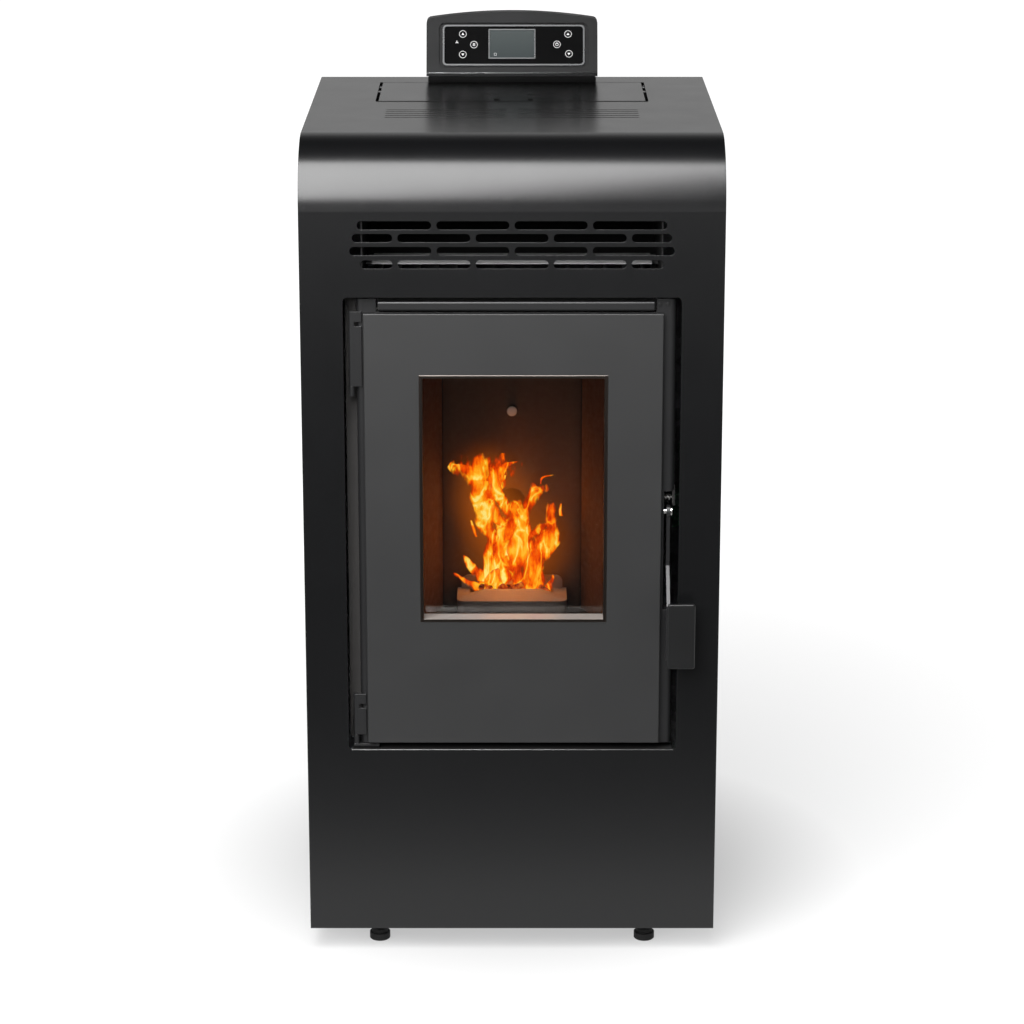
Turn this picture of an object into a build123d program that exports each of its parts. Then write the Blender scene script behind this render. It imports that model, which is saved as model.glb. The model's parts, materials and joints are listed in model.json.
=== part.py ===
"""Pellet stove: an assembly of separate pieces, in millimetres.

The stove faces -Y, with +X to the right and +Z up.  Everything is first laid out with y = 0 on the
front plane of the cabinet, and each finished piece is then moved back by Y_CENTRE, so that the origin
lies under the middle of the whole stove, on the floor.
"""
from math import cos, hypot, radians, sin, tan
import os

from build123d import *

# ---- cabinet -------------------------------------------------------------------------------------
WIDTH = 450.0                 # outside, over the side panels
DEPTH = 472.0                 # front plane to rear panel
HEIGHT = 910.0                # floor to top plate
FOOT_HEIGHT = 26.0            # floor to the underside of the cabinet
SHEET = 1.5                   # cabinet sheet metal
SEAM = 0.3                    # gap between sheets that lie beside each other
OVER = 5.0                    # how far a cutter reaches past what it cuts
BASE_T = 2.0
BASE_LIP = 22.0               # turned-up edge of the base plate
SIDE_HEM = 14.0               # folded rear edge of a side
SIDE_HEM_LOW = 30.0           # where that fold starts, above the base
BEND_OUTER = 72.0             # outside radius where the front sheet turns into the top

FOOT_X = 149.0                # feet, left and right of the middle
FOOT_FRONT_Y = 35.0
FOOT_REAR_Y = DEPTH - FOOT_FRONT_Y
FOOT_DISC_R = 11.5
FOOT_DISC_H = 12.0
FOOT_RIM_H = 8.0              # full-width part of the disc
STUD_R = 4.0
STUD_ABOVE = 16.0             # stud above the base plate
NUT_AF = 13.0                 # jam nut across flats
NUT_H = 6.0

# ---- air slots in the base and the rear panel ----------------------------------------------------
BACK_SLOT_X = -80.0           # their middle, on the left
BACK_SLOT_W, BACK_SLOT_H, BACK_SLOT_PITCH = 170.0, 4.5, 12.0
BACK_SLOTS = ((90.0, 5), (560.0, 8))   # height of the lowest slot and their count, in two groups
BASE_SLOT_W, BASE_SLOT_H, BASE_SLOT_COUNT = 180.0, 5.0, 7

# ---- front opening and its door ------------------------------------------------------------------
TOP_BAND = 164.0              # height of the front above the opening
OPEN_X0 = -179.5
OPEN_X1 = 180.0
OPEN_Z0, OPEN_Z1 = 238.0, HEIGHT - TOP_BAND
OPEN_R = 5.0
PANEL_X0 = -158.0             # flush decor panel
PANEL_X1 = 161.0
PANEL_Z0, PANEL_Z1 = 246.0, OPEN_Z1 - 18.0
PANEL_T = 3.0
DOOR_X0 = -166.0              # frame behind it
DOOR_X1 = 175.0
DOOR_Z0, DOOR_Z1 = 243.5, OPEN_Z1 - 3.0
DOOR_Y0, DOOR_Y1 = 8.0, 26.0
DOOR_EDGE_R = 6.0
RAIL_Z0 = PANEL_Z1 + 3.0      # top rail above the panel
RAIL_H = 10.0
RAIL_GAP = 2.5
CORNER_W = 24.0               # corner blocks beside the top rail
WIN_X0 = -96.0                # visible window
WIN_X1 = 99.0
WIN_Z0, WIN_Z1 = 389.0, PANEL_Z1 - 70.0
TRIM_LIP = 2.0
TRIM_T = 1.5
REBATE = 10.0                 # how far the glass reaches past the window, each side
GLASS_Y = 21.0                # front of the glass
GLASS_T = 4.0
TAPE_T = 1.5                  # sealing tape in front of the glass
SEAL_CLEAR = 0.3
ROPE_R = 4.5                  # door sealing rope
ROPE_DEEP = 5.5               # how deep the rope sits in the frame
ROPE_CORNER = 10.0
FLANGE_Y = 33.0               # front flange of the firebox

# ---- hinges --------------------------------------------------------------------------------------
HINGE_X = -171.0
HINGE_Y = 8.0
KNUCKLE_R = 2.9
HINGE_PIN_R = 1.8
RUNNING = 0.06                # radial clearance of pins that turn
LEAF_T = 2.9
# each hinge: foot of its fixed knuckle, top of its leaf, top of its pin
HINGES = ((PANEL_Z1 - 91.0, PANEL_Z1 + 1.5, PANEL_Z1 - 38.0), (243.0, 300.6, 290.0))
FIXED_KNUCKLE_H = 10.7
KNUCKLE_GAP = 0.3
HINGE_FOOT_X = -146.0         # end of the foot under the door

# ---- latch ---------------------------------------------------------------------------------------
LATCH_Y, LATCH_Z = 14.0, 507.0
LATCH_X0, LATCH_X1 = 167.0, 171.0
LATCH_EYE_R = 7.0
LATCH_PIN_R = 3.0
HOOK_REACH = 33.0
HOOK_TIP = 4.0
ROLLER_R = 4.0
ROLLER_DY, ROLLER_DZ = 24.0, 10.0
HANDLE_X0, HANDLE_X1 = 168.5, 198.0
HANDLE_Z0, HANDLE_Z1 = 340.0, 413.0
HANDLE_T = 5.0
HANDLE_Y = -26.0              # front face of the handle plate

# ---- grille, vents and hopper lid ----------------------------------------------------------------
SLOT_H = 9.1
SLOT_PITCH = 82.3
SLOT_BRIDGE = 5.5
# each row of slots: how far under the top, half its width, its shift in pitches
SLOT_ROWS = ((86.6, 163.3, 0.0), (100.2, 168.6, 0.5), (114.1, 171.4, 0.0), (128.4, 160.0, 0.5))
VENT_X0, VENT_X1 = 6.6, 139.6
VENT_W = 3.2
VENT_Y0 = 172.0
VENT_PITCH = 13.0
VENT_COUNT = 5
CABLE_R = 8.0                 # hole for the console's cable
LID_OPEN_X = 154.0            # half width of the opening in the top
LID_Y0, LID_Y1 = 286.0, DEPTH - 44.0   # from the duct's back to the console
LID_SIDE_GAP = 3.5
LID_FRONT_GAP = 0.8
LID_REAR_GAP = 1.6
LID_FLANGE = 12.0
LID_AXIS_IN = 10.0            # hinge line in front of the lid's rear edge
LID_AXIS_DOWN = 5.0
LID_PIN_R = 2.5
LUG_Y = (LID_Y0 + LID_Y1) / 2
LUG_W = 10.0
LIFT_X, LIFT_IN, LIFT_L, LIFT_W = 22.0, 50.0, 9.0, 4.0     # the two small lift slots
EAR_T, EAR_W, EAR_H = 2.0, 16.0, 14.0  # hinge ears under the top

# ---- firebox -------------------------------------------------------------------------------------
BOX_T = 3.0
BOX_X = 148.0                 # half width inside
BOX_Z0, BOX_Z1 = 262.0, OPEN_Z1 - 24.0   # mouth
BOX_FLOOR = 353.5             # top of the hearth plate
BOX_BACK = 167.0              # inside face of the back wall
BOX_BOTTOM = 250.0
BOX_TOP = BOX_Z1 + 30.0
FLANGE_X0 = -178.5
FLANGE_X1 = 163.0
LINING_T = 3.0
LINING_BACK_Y = 155.0
LINING_BACK_X = 78.0
LINING_FRONT_X = 125.0
LINING_FRONT_Y = 42.0
LINING_TOP = BOX_Z1 - 22.0
BAFFLE_T = 12.0
PORT_Z = 480.0                # pellet port
PORT_BORE = 14.0
CAP_Z = PORT_Z + 104.0
CAP_R = 6.2

# ---- ash drawer, under the hearth ----------------------------------------------------------------
DRAWER_T = 1.5
DRAWER_SIDE_GAP, DRAWER_TOP_GAP, DRAWER_IN = 3.0, 12.0, 2.0
PULL_W, PULL_OUT = 90.0, 5.0

# ---- burn pot ------------------------------------------------------------------------------------
POT_X = 61.5
POT_Y0, POT_Y1 = 98.0, 150.0
POT_Z0, POT_RIM, POT_BACK = 354.7, 378.7, 394.0
POT_WALL = 4.0
POT_CORNER = 9.0
POT_FIT = 0.5
POT_SKIRT = 12.0
RAMP_W, RAMP_D = 118.0, 24.0  # foot of the sloping lip in front of the cup
CREST_W, CREST_D, CREST_H = 66.0, 6.0, 7.0
CUP_Y = 134.0                 # middle of the cup's mouth
CUP_W, CUP_D = 96.0, 24.0
CUP_FOOT_W, CUP_FOOT_D = 64.0, 18.0
AIR_HOLE_R = 2.0
IGNITER_Z = 366.0

# ---- feed ----------------------------------------------------------------------------------------
HOPPER_T = 1.2
HOPPER_CLEAR = 2.0
THROAT_W, THROAT_D = 60.0, 56.0
AUGER_LOW = (DEPTH - 87.0, 430.0)      # y, z of the lower end of the feed tube's axis
AUGER_TILT = 45.0
OUTLET_Y = 219.0              # middle of the feed tube's outlet
OUTLET_IN = 30.0              # from there to the tube's closed upper end, along the tube
AUGER_LEN = (AUGER_LOW[0] - OUTLET_Y) / cos(radians(AUGER_TILT)) + OUTLET_IN
THROAT_IN = 40.0              # middle of the hopper's throat, in front of the tube's lower end
HOPPER_BEND_Z = HEIGHT - 230.0
THROAT_Z = AUGER_LOW[1] + 130.0
AUGER_BORE, AUGER_WALL = 25.0, 2.0
SCREW_R, SCREW_CORE, SCREW_PITCH, SCREW_FLIGHT = 23.5, 8.0, 42.0, 3.0
SCREW_ROOT = 1.0              # how deep the flight's foot is welded into the core
DRIVE_END = 14.0              # bare end of the core, in the gearmotor
GEAR_LEN = 46.0
MOTOR_LEN = 24.0
CHUTE_STUB, CHUTE_RISE, CHUTE_BEND = 14.0, 1.5, 16.0

# ---- air -----------------------------------------------------------------------------------------
FLUE_R, FLUE_WALL = 40.0, 1.5
FLUE_X, FLUE_Z = 128.0, 150.0
STUB = 50.0                   # how far the flue outlet stands out behind
INTAKE_R, INTAKE_WALL = 25.0, 1.5
INTAKE_X = -110.0
INTAKE_Z = 300.0
INTAKE_STUB = 40.0
SPIGOT_STEP = 0.8             # the pipes are this much slimmer inside the cabinet
PIPE_HOLE = 1.0               # the rear panel's holes are this much larger than the pipes
FAN_X, FAN_Z = 80.0, 322.0    # exhaust fan
FAN_DEPTH = 86.0
IMPELLER_R = 55.0
NECK_LOW = 62.0               # underside of the fan's neck above the flue's axis
DRUM_X0 = -180.0              # room-air fan
DRUM_X1 = 20.0
DRUM_Y, DRUM_Z, DRUM_R = 330.0, 112.0, 30.0
DUCT_X = 158.0
DUCT_BACK = 262.0

# ---- control console -----------------------------------------------------------------------------
CON_X = 100.0
CON_Y0, CON_Y1 = LID_Y1, DEPTH - 2.0
CON_TILT = 21.0
PLINTH_H = 7.0
CON_SIDE_Z, CON_TOP_Z = HEIGHT + 71.0, HEIGHT + 79.0
CON_FLOOR_Z = HEIGHT + 11.0
FACE_CX = 2.0                 # the panel of keys sits a little to the right
FACE_W, FACE_H = 174.0, 53.0
FACE_V = 33.0                 # its middle, up the sloping face
BEZEL_W, BEZEL_H = 166.0, 48.5
SCREEN_W, SCREEN_H, SCREEN_V = 52.0, 32.5, 34.6
KEY_R = 4.6
KEY_TRAVEL = 0.8
KEY_CLEAR = 0.3
KEYS = (("up_left", -57.5, 46.1), ("set_left", -44.5, 33.5), ("down_left", -57.5, 21.8),
        ("up_right", 65.5, 46.1), ("power_right", 52.5, 33.8), ("down_right", 66.5, 22.6))

# ---- main board, on the inside of the right side -------------------------------------------------
BOARD_W, BOARD_H, BOARD_T = 140.0, 120.0, 1.6
BOARD_STAND_OFF = 12.0
BOARD_IN = 32.0               # in from the rear
BOARD_Z = 380.0
# each larger part on it: along, up, width, height, how far it stands off
BOARD_PARTS = ((20, 20, 30, 26, 20), (60, 20, 22, 22, 16), (100, 20, 26, 18, 14),
               (30, 70, 20, 34, 12), (80, 80, 40, 16, 10), (10, 100, 16, 12, 12))

# ---- mains inlet and safety thermostat, in the rear panel ----------------------------------------
INLET_X = -170.0
INLET_Z, INLET_W, INLET_H = 200.0, 27.0, 47.0
INLET_RIM = 2.0
STAT_X = -170.0
STAT_Z, STAT_R = 270.0, 7.5

HANDLE_PROUD = -HANDLE_Y
Y_CENTRE = (DEPTH + STUB - HANDLE_PROUD) / 2
PARTS = {}


def keep(name, *solids):
    """Remember the solids of one named piece, in the stove's own frame."""
    found = [s for shape in solids for s in shape.solids()]
    moved = [Pos(0, -Y_CENTRE, 0) * s for s in found]
    PARTS[name] = moved[0] if len(moved) == 1 else Compound(children=moved)


def block(x0, x1, y0, y1, z0, z1):
    """A box between two corners."""
    return Pos((x0 + x1) / 2, (y0 + y1) / 2, (z0 + z1) / 2) * Box(x1 - x0, y1 - y0, z1 - z0)


def rounded(x0, x1, z0, z1, radius, y0, y1):
    """A plate in the XZ plane with rounded corners, from y0 back to y1."""
    shape = RectangleRounded(x1 - x0, z1 - z0, radius)
    face = Plane(origin=((x0 + x1) / 2, y0, (z0 + z1) / 2), x_dir=(1, 0, 0), z_dir=(0, 1, 0)) * shape
    return extrude(face, amount=y1 - y0)


def rod(x, y, z, radius, length, axis="Y"):
    """A round bar that starts at a point and runs along +X, +Y or +Z."""
    direction = {"X": (1, 0, 0), "Y": (0, 1, 0), "Z": (0, 0, 1)}[axis]
    return extrude(Plane(origin=(x, y, z), z_dir=direction) * Circle(radius), amount=length)


def tube(x, y, z, outer, bore, length, axis="Y"):
    """A round tube along +X, +Y or +Z."""
    return rod(x, y, z, outer, length, axis) - rod(x, y, z, bore, length, axis)


def profile_yz(points, x0, x1):
    """A straight-sided outline given as (y, z) points, extruded from x0 to x1."""
    face = make_face(Polyline(*[(x0, y, z) for y, z in points], close=True).edges())
    return extrude(face, amount=x1 - x0, dir=(1, 0, 0))


# ---- cabinet -------------------------------------------------------------------------------------
def bent_outline(inset, z0):
    """Side outline of the front-and-top sheet, moved inwards by inset and closed at the back."""
    radius = BEND_OUTER - inset
    top = HEIGHT - inset
    turn = HEIGHT - BEND_OUTER
    lines = [Line((inset, z0), (inset, turn)),
             CenterArc((BEND_OUTER, turn), radius, 90, 90),
             Line((BEND_OUTER, top), (DEPTH, top)),
             Line((DEPTH, top), (DEPTH, z0)),
             Line((DEPTH, z0), (inset, z0))]
    return Plane.YZ * make_face([edge for line in lines for edge in line.edges()])


def slot_cutter(cx, cz, length, height):
    """An upright cutter for one obround slot of the front grille."""
    face = Plane(origin=(cx, -OVER, cz), x_dir=(1, 0, 0), z_dir=(0, 1, 0)) * SlotOverall(length, height)
    return extrude(face, amount=OVER + BEND_OUTER)


def row_slots(z, half, shift):
    """Centre and length of each slot in one row of the grille, like bricks in a wall."""
    joints = [SLOT_PITCH * (i + shift) for i in range(-3, 4)]
    joints = [x for x in joints if abs(x) < half - SLOT_H]
    ends = [-half] + joints + [half]
    slots = []
    for i in range(len(ends) - 1):
        x0 = ends[i] + (SLOT_BRIDGE / 2 if i else 0)
        x1 = ends[i + 1] - (SLOT_BRIDGE / 2 if i + 2 < len(ends) else 0)
        slots.append(((x0 + x1) / 2, x1 - x0, z))
    return slots


def front_cover():
    """The one bent sheet that makes the front and the top, with its openings."""
    outer = Pos(-WIDTH / 2, 0, 0) * extrude(bent_outline(0, FOOT_HEIGHT), amount=WIDTH, dir=(1, 0, 0))
    hollow = extrude(bent_outline(SHEET, FOOT_HEIGHT - OVER), amount=WIDTH + 2 * OVER, dir=(1, 0, 0))
    behind = block(-WIDTH, WIDTH, BEND_OUTER, DEPTH + OVER, FOOT_HEIGHT - OVER, HEIGHT - SHEET)
    sheet = outer - Pos(-WIDTH / 2 - OVER, 0, 0) * hollow - behind
    sheet -= rounded(OPEN_X0, OPEN_X1, OPEN_Z0, OPEN_Z1, OPEN_R, -OVER, OVER)
    for down, half, shift in SLOT_ROWS:
        for cx, length, cz in row_slots(HEIGHT - down, half, shift):
            sheet -= slot_cutter(cx, cz, length, SLOT_H)
    for side in (-1, 1):
        for i in range(VENT_COUNT):
            slot = SlotOverall(VENT_X1 - VENT_X0, VENT_W)
            place = Plane(origin=(side * (VENT_X0 + VENT_X1) / 2, VENT_Y0 + i * VENT_PITCH, HEIGHT - OVER))
            sheet -= extrude(place * slot, amount=2 * OVER)
    sheet -= block(-LID_OPEN_X, LID_OPEN_X, LID_Y0, LID_Y1, HEIGHT - OVER, HEIGHT + OVER)
    sheet -= rod(0, (CON_Y0 + CON_Y1) / 2, HEIGHT - OVER, CABLE_R, 2 * OVER, "Z")
    return sheet


def side_panel(side):
    """A flat side, cut to the bend of the front sheet, with its folded foot and rear edges."""
    gap = SHEET + SEAM
    plate = extrude(bent_outline(gap, FOOT_HEIGHT), amount=SHEET, dir=(1, 0, 0))
    x = WIDTH / 2 - SHEET
    plate = Pos(x if side > 0 else -WIDTH / 2, 0, 0) * plate
    a, b = sorted((side * x, side * (x - SIDE_HEM)))
    hem_y = DEPTH - gap
    return plate + block(a, b, hem_y - SHEET, hem_y, FOOT_HEIGHT + SIDE_HEM_LOW, HEIGHT - BEND_OUTER)


def base_plate():
    """The floor of the cabinet with turned-up edges and holes for the feet's studs."""
    x = WIDTH / 2 - SHEET - SEAM
    y0, y1 = SHEET + SEAM, DEPTH - SHEET - SEAM
    plate = block(-x, x, y0, y1, FOOT_HEIGHT, FOOT_HEIGHT + BASE_T)
    for a, b in ((-x, -x + SHEET), (x - SHEET, x)):
        plate += block(a, b, y0, y1 - 2 * BASE_T, FOOT_HEIGHT, FOOT_HEIGHT + BASE_LIP)
    for sx in (-1, 1):
        for y in (FOOT_FRONT_Y, FOOT_REAR_Y):
            plate -= rod(sx * FOOT_X, y, FOOT_HEIGHT - OVER, STUD_R, 2 * OVER, "Z")
    for i in range(BASE_SLOT_COUNT):
        y = DRUM_Y - DRUM_R + i * BACK_SLOT_PITCH
        plate -= block(BACK_SLOT_X - BASE_SLOT_W / 2, BACK_SLOT_X + BASE_SLOT_W / 2, y - BASE_SLOT_H / 2,
                       y + BASE_SLOT_H / 2, FOOT_HEIGHT - OVER, FOOT_HEIGHT + OVER)
    return plate


def rear_panel():
    """The back, with louvre slots for room air and holes for the flue, the intake and the inlet."""
    x = WIDTH / 2 - SHEET - SEAM
    y0 = DEPTH - SHEET
    plate = block(-x, x, y0, DEPTH, FOOT_HEIGHT + SEAM, HEIGHT - SHEET - SEAM)
    plate -= rod(FLUE_X, y0 - OVER, FLUE_Z, FLUE_R + PIPE_HOLE, 2 * OVER)
    plate -= rod(INTAKE_X, y0 - OVER, INTAKE_Z, INTAKE_R + PIPE_HOLE, 2 * OVER)
    w, h = INLET_W / 2 - INLET_RIM, INLET_H / 2 - INLET_RIM
    plate -= block(INLET_X - w, INLET_X + w, y0 - OVER, y0 + OVER, INLET_Z - h, INLET_Z + h)
    plate -= rod(STAT_X, y0 - OVER, STAT_Z, STAT_R, 2 * OVER)
    for lowest, count in BACK_SLOTS:
        for i in range(count):
            z = lowest + BACK_SLOT_PITCH * i
            plate -= block(BACK_SLOT_X - BACK_SLOT_W / 2, BACK_SLOT_X + BACK_SLOT_W / 2, y0 - OVER, y0 + OVER,
                           z - BACK_SLOT_H / 2, z + BACK_SLOT_H / 2)
    return plate


def feet():
    """Four levelling feet: rubber discs, threaded studs and the jam nuts above the base plate."""
    places = [(sx * FOOT_X, y) for sx in (-1, 1) for y in (FOOT_FRONT_Y, FOOT_REAR_Y)]
    discs, studs, nuts = [], [], []
    for x, y in places:
        disc = rod(x, y, 0, FOOT_DISC_R, FOOT_RIM_H, "Z")
        disc += rod(x, y, FOOT_RIM_H, FOOT_DISC_R - 2.5, FOOT_DISC_H - FOOT_RIM_H, "Z")
        disc = chamfer(disc.edges().filter_by(GeomType.CIRCLE).group_by(Axis.Z)[0], 1.0)
        discs.append(disc)
        plate_top = FOOT_HEIGHT + BASE_T
        studs.append(rod(x, y, FOOT_DISC_H, STUD_R, plate_top + STUD_ABOVE - FOOT_DISC_H, "Z"))
        hexagon = Plane(origin=(x, y, plate_top)) * RegularPolygon(NUT_AF / 2, 6, major_radius=False)
        nuts.append(extrude(hexagon, amount=NUT_H) - rod(x, y, FOOT_HEIGHT, STUD_R, STUD_ABOVE + OVER, "Z"))
    return discs, studs, nuts


def hopper_lid():
    """The flush lid: a tray with turned-down edges, two lift slots and two small side lugs."""
    x = LID_OPEN_X - LID_SIDE_GAP
    y0, y1 = LID_Y0 + LID_FRONT_GAP, LID_Y1 - LID_REAR_GAP
    lid = block(-x, x, y0, y1, HEIGHT - SHEET, HEIGHT)
    for a, b in ((-x, -x + SHEET), (x - SHEET, x)):
        lid += block(a, b, y0, y1 - 2.5, HEIGHT - LID_FLANGE, HEIGHT - SHEET)
    lid += block(-x, x, y0, y0 + SHEET, HEIGHT - LID_FLANGE, HEIGHT - SHEET)
    for side in (-1, 1):
        reach = x + LID_SIDE_GAP - 0.5
        a, b = sorted((side * (x - 1), side * reach))
        lid += block(a, b, LUG_Y - LUG_W / 2, LUG_Y + LUG_W / 2, HEIGHT - SHEET, HEIGHT)
        slot = Plane(origin=(side * LIFT_X, LID_Y0 + LIFT_IN, HEIGHT - OVER)) * SlotOverall(LIFT_L, LIFT_W)
        lid -= extrude(slot, amount=2 * OVER)
    axis_y, axis_z = y1 - LID_AXIS_IN, HEIGHT - LID_AXIS_DOWN
    lid -= rod(-WIDTH / 2, axis_y, axis_z, LID_PIN_R + RUNNING, WIDTH, "X")
    pins, brackets = [], []
    for side in (-1, 1):
        a, b = sorted((side * (x - 5), side * (LID_OPEN_X + 4)))
        pins.append(rod(a, axis_y, axis_z, LID_PIN_R, b - a, "X"))
        a, b = sorted((side * (LID_OPEN_X + 1), side * (LID_OPEN_X + 1 + EAR_T)))
        ear = block(a, b, axis_y - EAR_W / 2, axis_y + EAR_W / 2, HEIGHT - SHEET - EAR_H, HEIGHT - SHEET)
        brackets.append(ear - rod(-WIDTH / 2, axis_y, axis_z, LID_PIN_R, WIDTH, "X"))
    return lid, pins, brackets


# ---- firebox -------------------------------------------------------------------------------------
def firebox():
    """The welded steel box: shell, hearth plate with the pot's hole, and the door's flange."""
    x, t = BOX_X, BOX_T
    y0 = FLANGE_Y - t
    shell = block(-x - t, x + t, FLANGE_Y, BOX_BACK + t, BOX_BOTTOM, BOX_TOP)
    shell -= block(-x, x, FLANGE_Y - 1, BOX_BACK, BOX_BOTTOM + t, BOX_TOP - t)
    shell += block(FLANGE_X0, FLANGE_X1, y0, FLANGE_Y, DOOR_Z0, DOOR_Z1)
    shell -= block(-x, x, y0 - 1, FLANGE_Y + 1, BOX_Z0, BOX_Z1)
    hearth = block(-x, x, FLANGE_Y, BOX_BACK, BOX_FLOOR - t, BOX_FLOOR)
    hole_x, hole_y0, hole_y1 = POT_X - POT_CORNER, POT_Y0 + POT_CORNER, POT_Y1 - POT_CORNER
    hearth -= block(-hole_x, hole_x, hole_y0, hole_y1, BOX_FLOOR - 10, BOX_FLOOR + 10)
    shell += hearth
    for side in (-1, 1):
        a, b = sorted((side * 104, side * 120))
        shell += block(a, b, FLANGE_Y + 1, BOX_BACK, BOX_BOTTOM + t, BOX_Z0)
    shell -= rod(0, BOX_BACK - 1, PORT_Z, PORT_BORE + 1.5, 10)
    shell -= rod(0, BOX_BACK - 1, IGNITER_Z, 8, 10)
    shell -= rod(INTAKE_X, BOX_BACK - 1, INTAKE_Z, INTAKE_R, 10)
    shell -= rod(FAN_X, BOX_BACK - 1, FAN_Z, 28, 10)
    return shell


def back_lining():
    """The back wall of the fire, with the pellet port and the pale sensor cap."""
    y = LINING_BACK_Y
    plate = block(-LINING_BACK_X + 1, LINING_BACK_X - 1, y, y + LINING_T, BOX_FLOOR, LINING_TOP)
    plate -= rod(0, y - 1, PORT_Z, PORT_BORE + 1.5, 10)
    plate -= rod(0, y - 1, CAP_Z, 3, 10)
    plate -= rod(0, y - 1, IGNITER_Z, 8, 10)
    for side in (-1, 1):
        for z in (BOX_FLOOR + 30, LINING_TOP - 30):
            plate += rod(side * 60, y + LINING_T, z, 5, BOX_BACK - y - LINING_T)
    cap = rod(0, y - 3.5, CAP_Z, CAP_R, 3.5) + rod(0, y - 1, CAP_Z, 3, 12)
    cap = chamfer(cap.edges().filter_by(GeomType.CIRCLE).group_by(Axis.Y)[0], 0.8)
    return plate, cap


def side_lining(side):
    """A splayed side wall of the fire, folded forward along the box at its front edge."""
    a = (LINING_BACK_X, LINING_BACK_Y)
    b = (LINING_FRONT_X, LINING_FRONT_Y)
    length = hypot(b[0] - a[0], b[1] - a[1])
    nx, ny = (a[1] - b[1]) / length * LINING_T, (b[0] - a[0]) / length * LINING_T
    c = (BOX_X, LINING_FRONT_Y)
    points = [a, b, c, (c[0], c[1] + LINING_T), (b[0] + nx * 0.6, b[1] + LINING_T), (a[0] + nx, a[1] + ny)]
    outline = [(side * px, py, BOX_FLOOR) for px, py in points]
    face = make_face(Polyline(*outline, close=True).edges())
    return extrude(face, amount=LINING_TOP - BOX_FLOOR, dir=(0, 0, 1))


def smoke_baffle():
    """The plate over the fire that sends the smoke round its back edge."""
    return block(-BOX_X + 1, BOX_X - 1, LINING_FRONT_Y, LINING_BACK_Y - 8, LINING_TOP, LINING_TOP + BAFFLE_T)


def burn_pot():
    """The cast cup: rounded front, a sloping lip before its mouth, air holes, and a raised back."""
    y0, y1 = POT_Y0, POT_Y1
    outer = block(-POT_X, POT_X, y0, y1, POT_Z0, POT_RIM)
    outer = fillet(outer.edges().filter_by(Axis.Z).group_by(Axis.Y)[0], POT_CORNER)
    mouth_y = CUP_Y - CUP_D / 2
    foot = Plane(origin=(0, mouth_y + 1 - RAMP_D / 2, POT_RIM)) * RectangleRounded(RAMP_W, RAMP_D, 6)
    crest = Plane(origin=(0, mouth_y - CREST_D / 2, POT_RIM + CREST_H))
    crest *= RectangleRounded(CREST_W, CREST_D, 2.5)
    cup = loft([Plane(origin=(0, CUP_Y + 1, POT_Z0 - 2)) * RectangleRounded(CUP_FOOT_W, CUP_FOOT_D, 4),
                Plane(origin=(0, CUP_Y, POT_RIM + 1)) * RectangleRounded(CUP_W, CUP_D, 4)])
    skirt = block(-POT_X + POT_CORNER + POT_FIT, POT_X - POT_CORNER - POT_FIT, y0 + POT_CORNER + POT_FIT,
                  y1 - POT_CORNER - POT_FIT, POT_Z0 - POT_SKIRT, POT_Z0)
    back = rounded(-57, 57, POT_RIM - 12, POT_BACK, 8, y1 - POT_WALL, y1)
    pot = outer + back + skirt + loft([foot, crest]) - cup
    pot -= block(-40, 40, y0 + POT_CORNER + 3, y1 - POT_CORNER - 3, POT_Z0 - POT_SKIRT - 1, POT_Z0 - 5)
    for i in range(-3, 4):
        pot -= rod(i * 9.0, CUP_Y + 1, POT_Z0 - 6, AIR_HOLE_R, 12, "Z")
    for i in range(-2, 3):
        pot -= rod(i * 14.0, y1 - POT_CORNER, POT_Z0 + 13, AIR_HOLE_R, POT_CORNER + 2)
    return pot


def ash_drawer():
    """The ash box under the hearth: a folded tray, and the front plate with its bent pull."""
    y0, y1 = FLANGE_Y + DRAWER_IN, BOX_BACK - 2 * DRAWER_SIDE_GAP
    z0, z1 = BOX_Z0 + SEAM, BOX_FLOOR - BOX_T - DRAWER_TOP_GAP
    x, t = BOX_X - DRAWER_SIDE_GAP, DRAWER_T
    tray = block(-x, x, y0 + t, y1, z0, z1) - block(-x + t, x - t, y0, y1 - t, z0 + t, z1 + OVER)
    w, out = PULL_W / 2, y0 - PULL_OUT
    front = block(-x, x, y0, y0 + t, z0, z1)
    front += block(-w, w, out, y0, z1 - 12, z1 - 10) + block(-w, w, out, out + 2, z1 - 22, z1 - 10)
    return tray, front


def igniter():
    """The hot rod behind the pot and the steel sleeve that holds it."""
    hot = rod(0, POT_Y1 + 2.0, IGNITER_Z, 5, 60)
    sleeve = tube(0, BOX_BACK + BOX_T, IGNITER_Z, 9, 5, 22)
    sleeve += tube(0, BOX_BACK + BOX_T, IGNITER_Z, 14, 5, 2)
    return hot, sleeve


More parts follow.
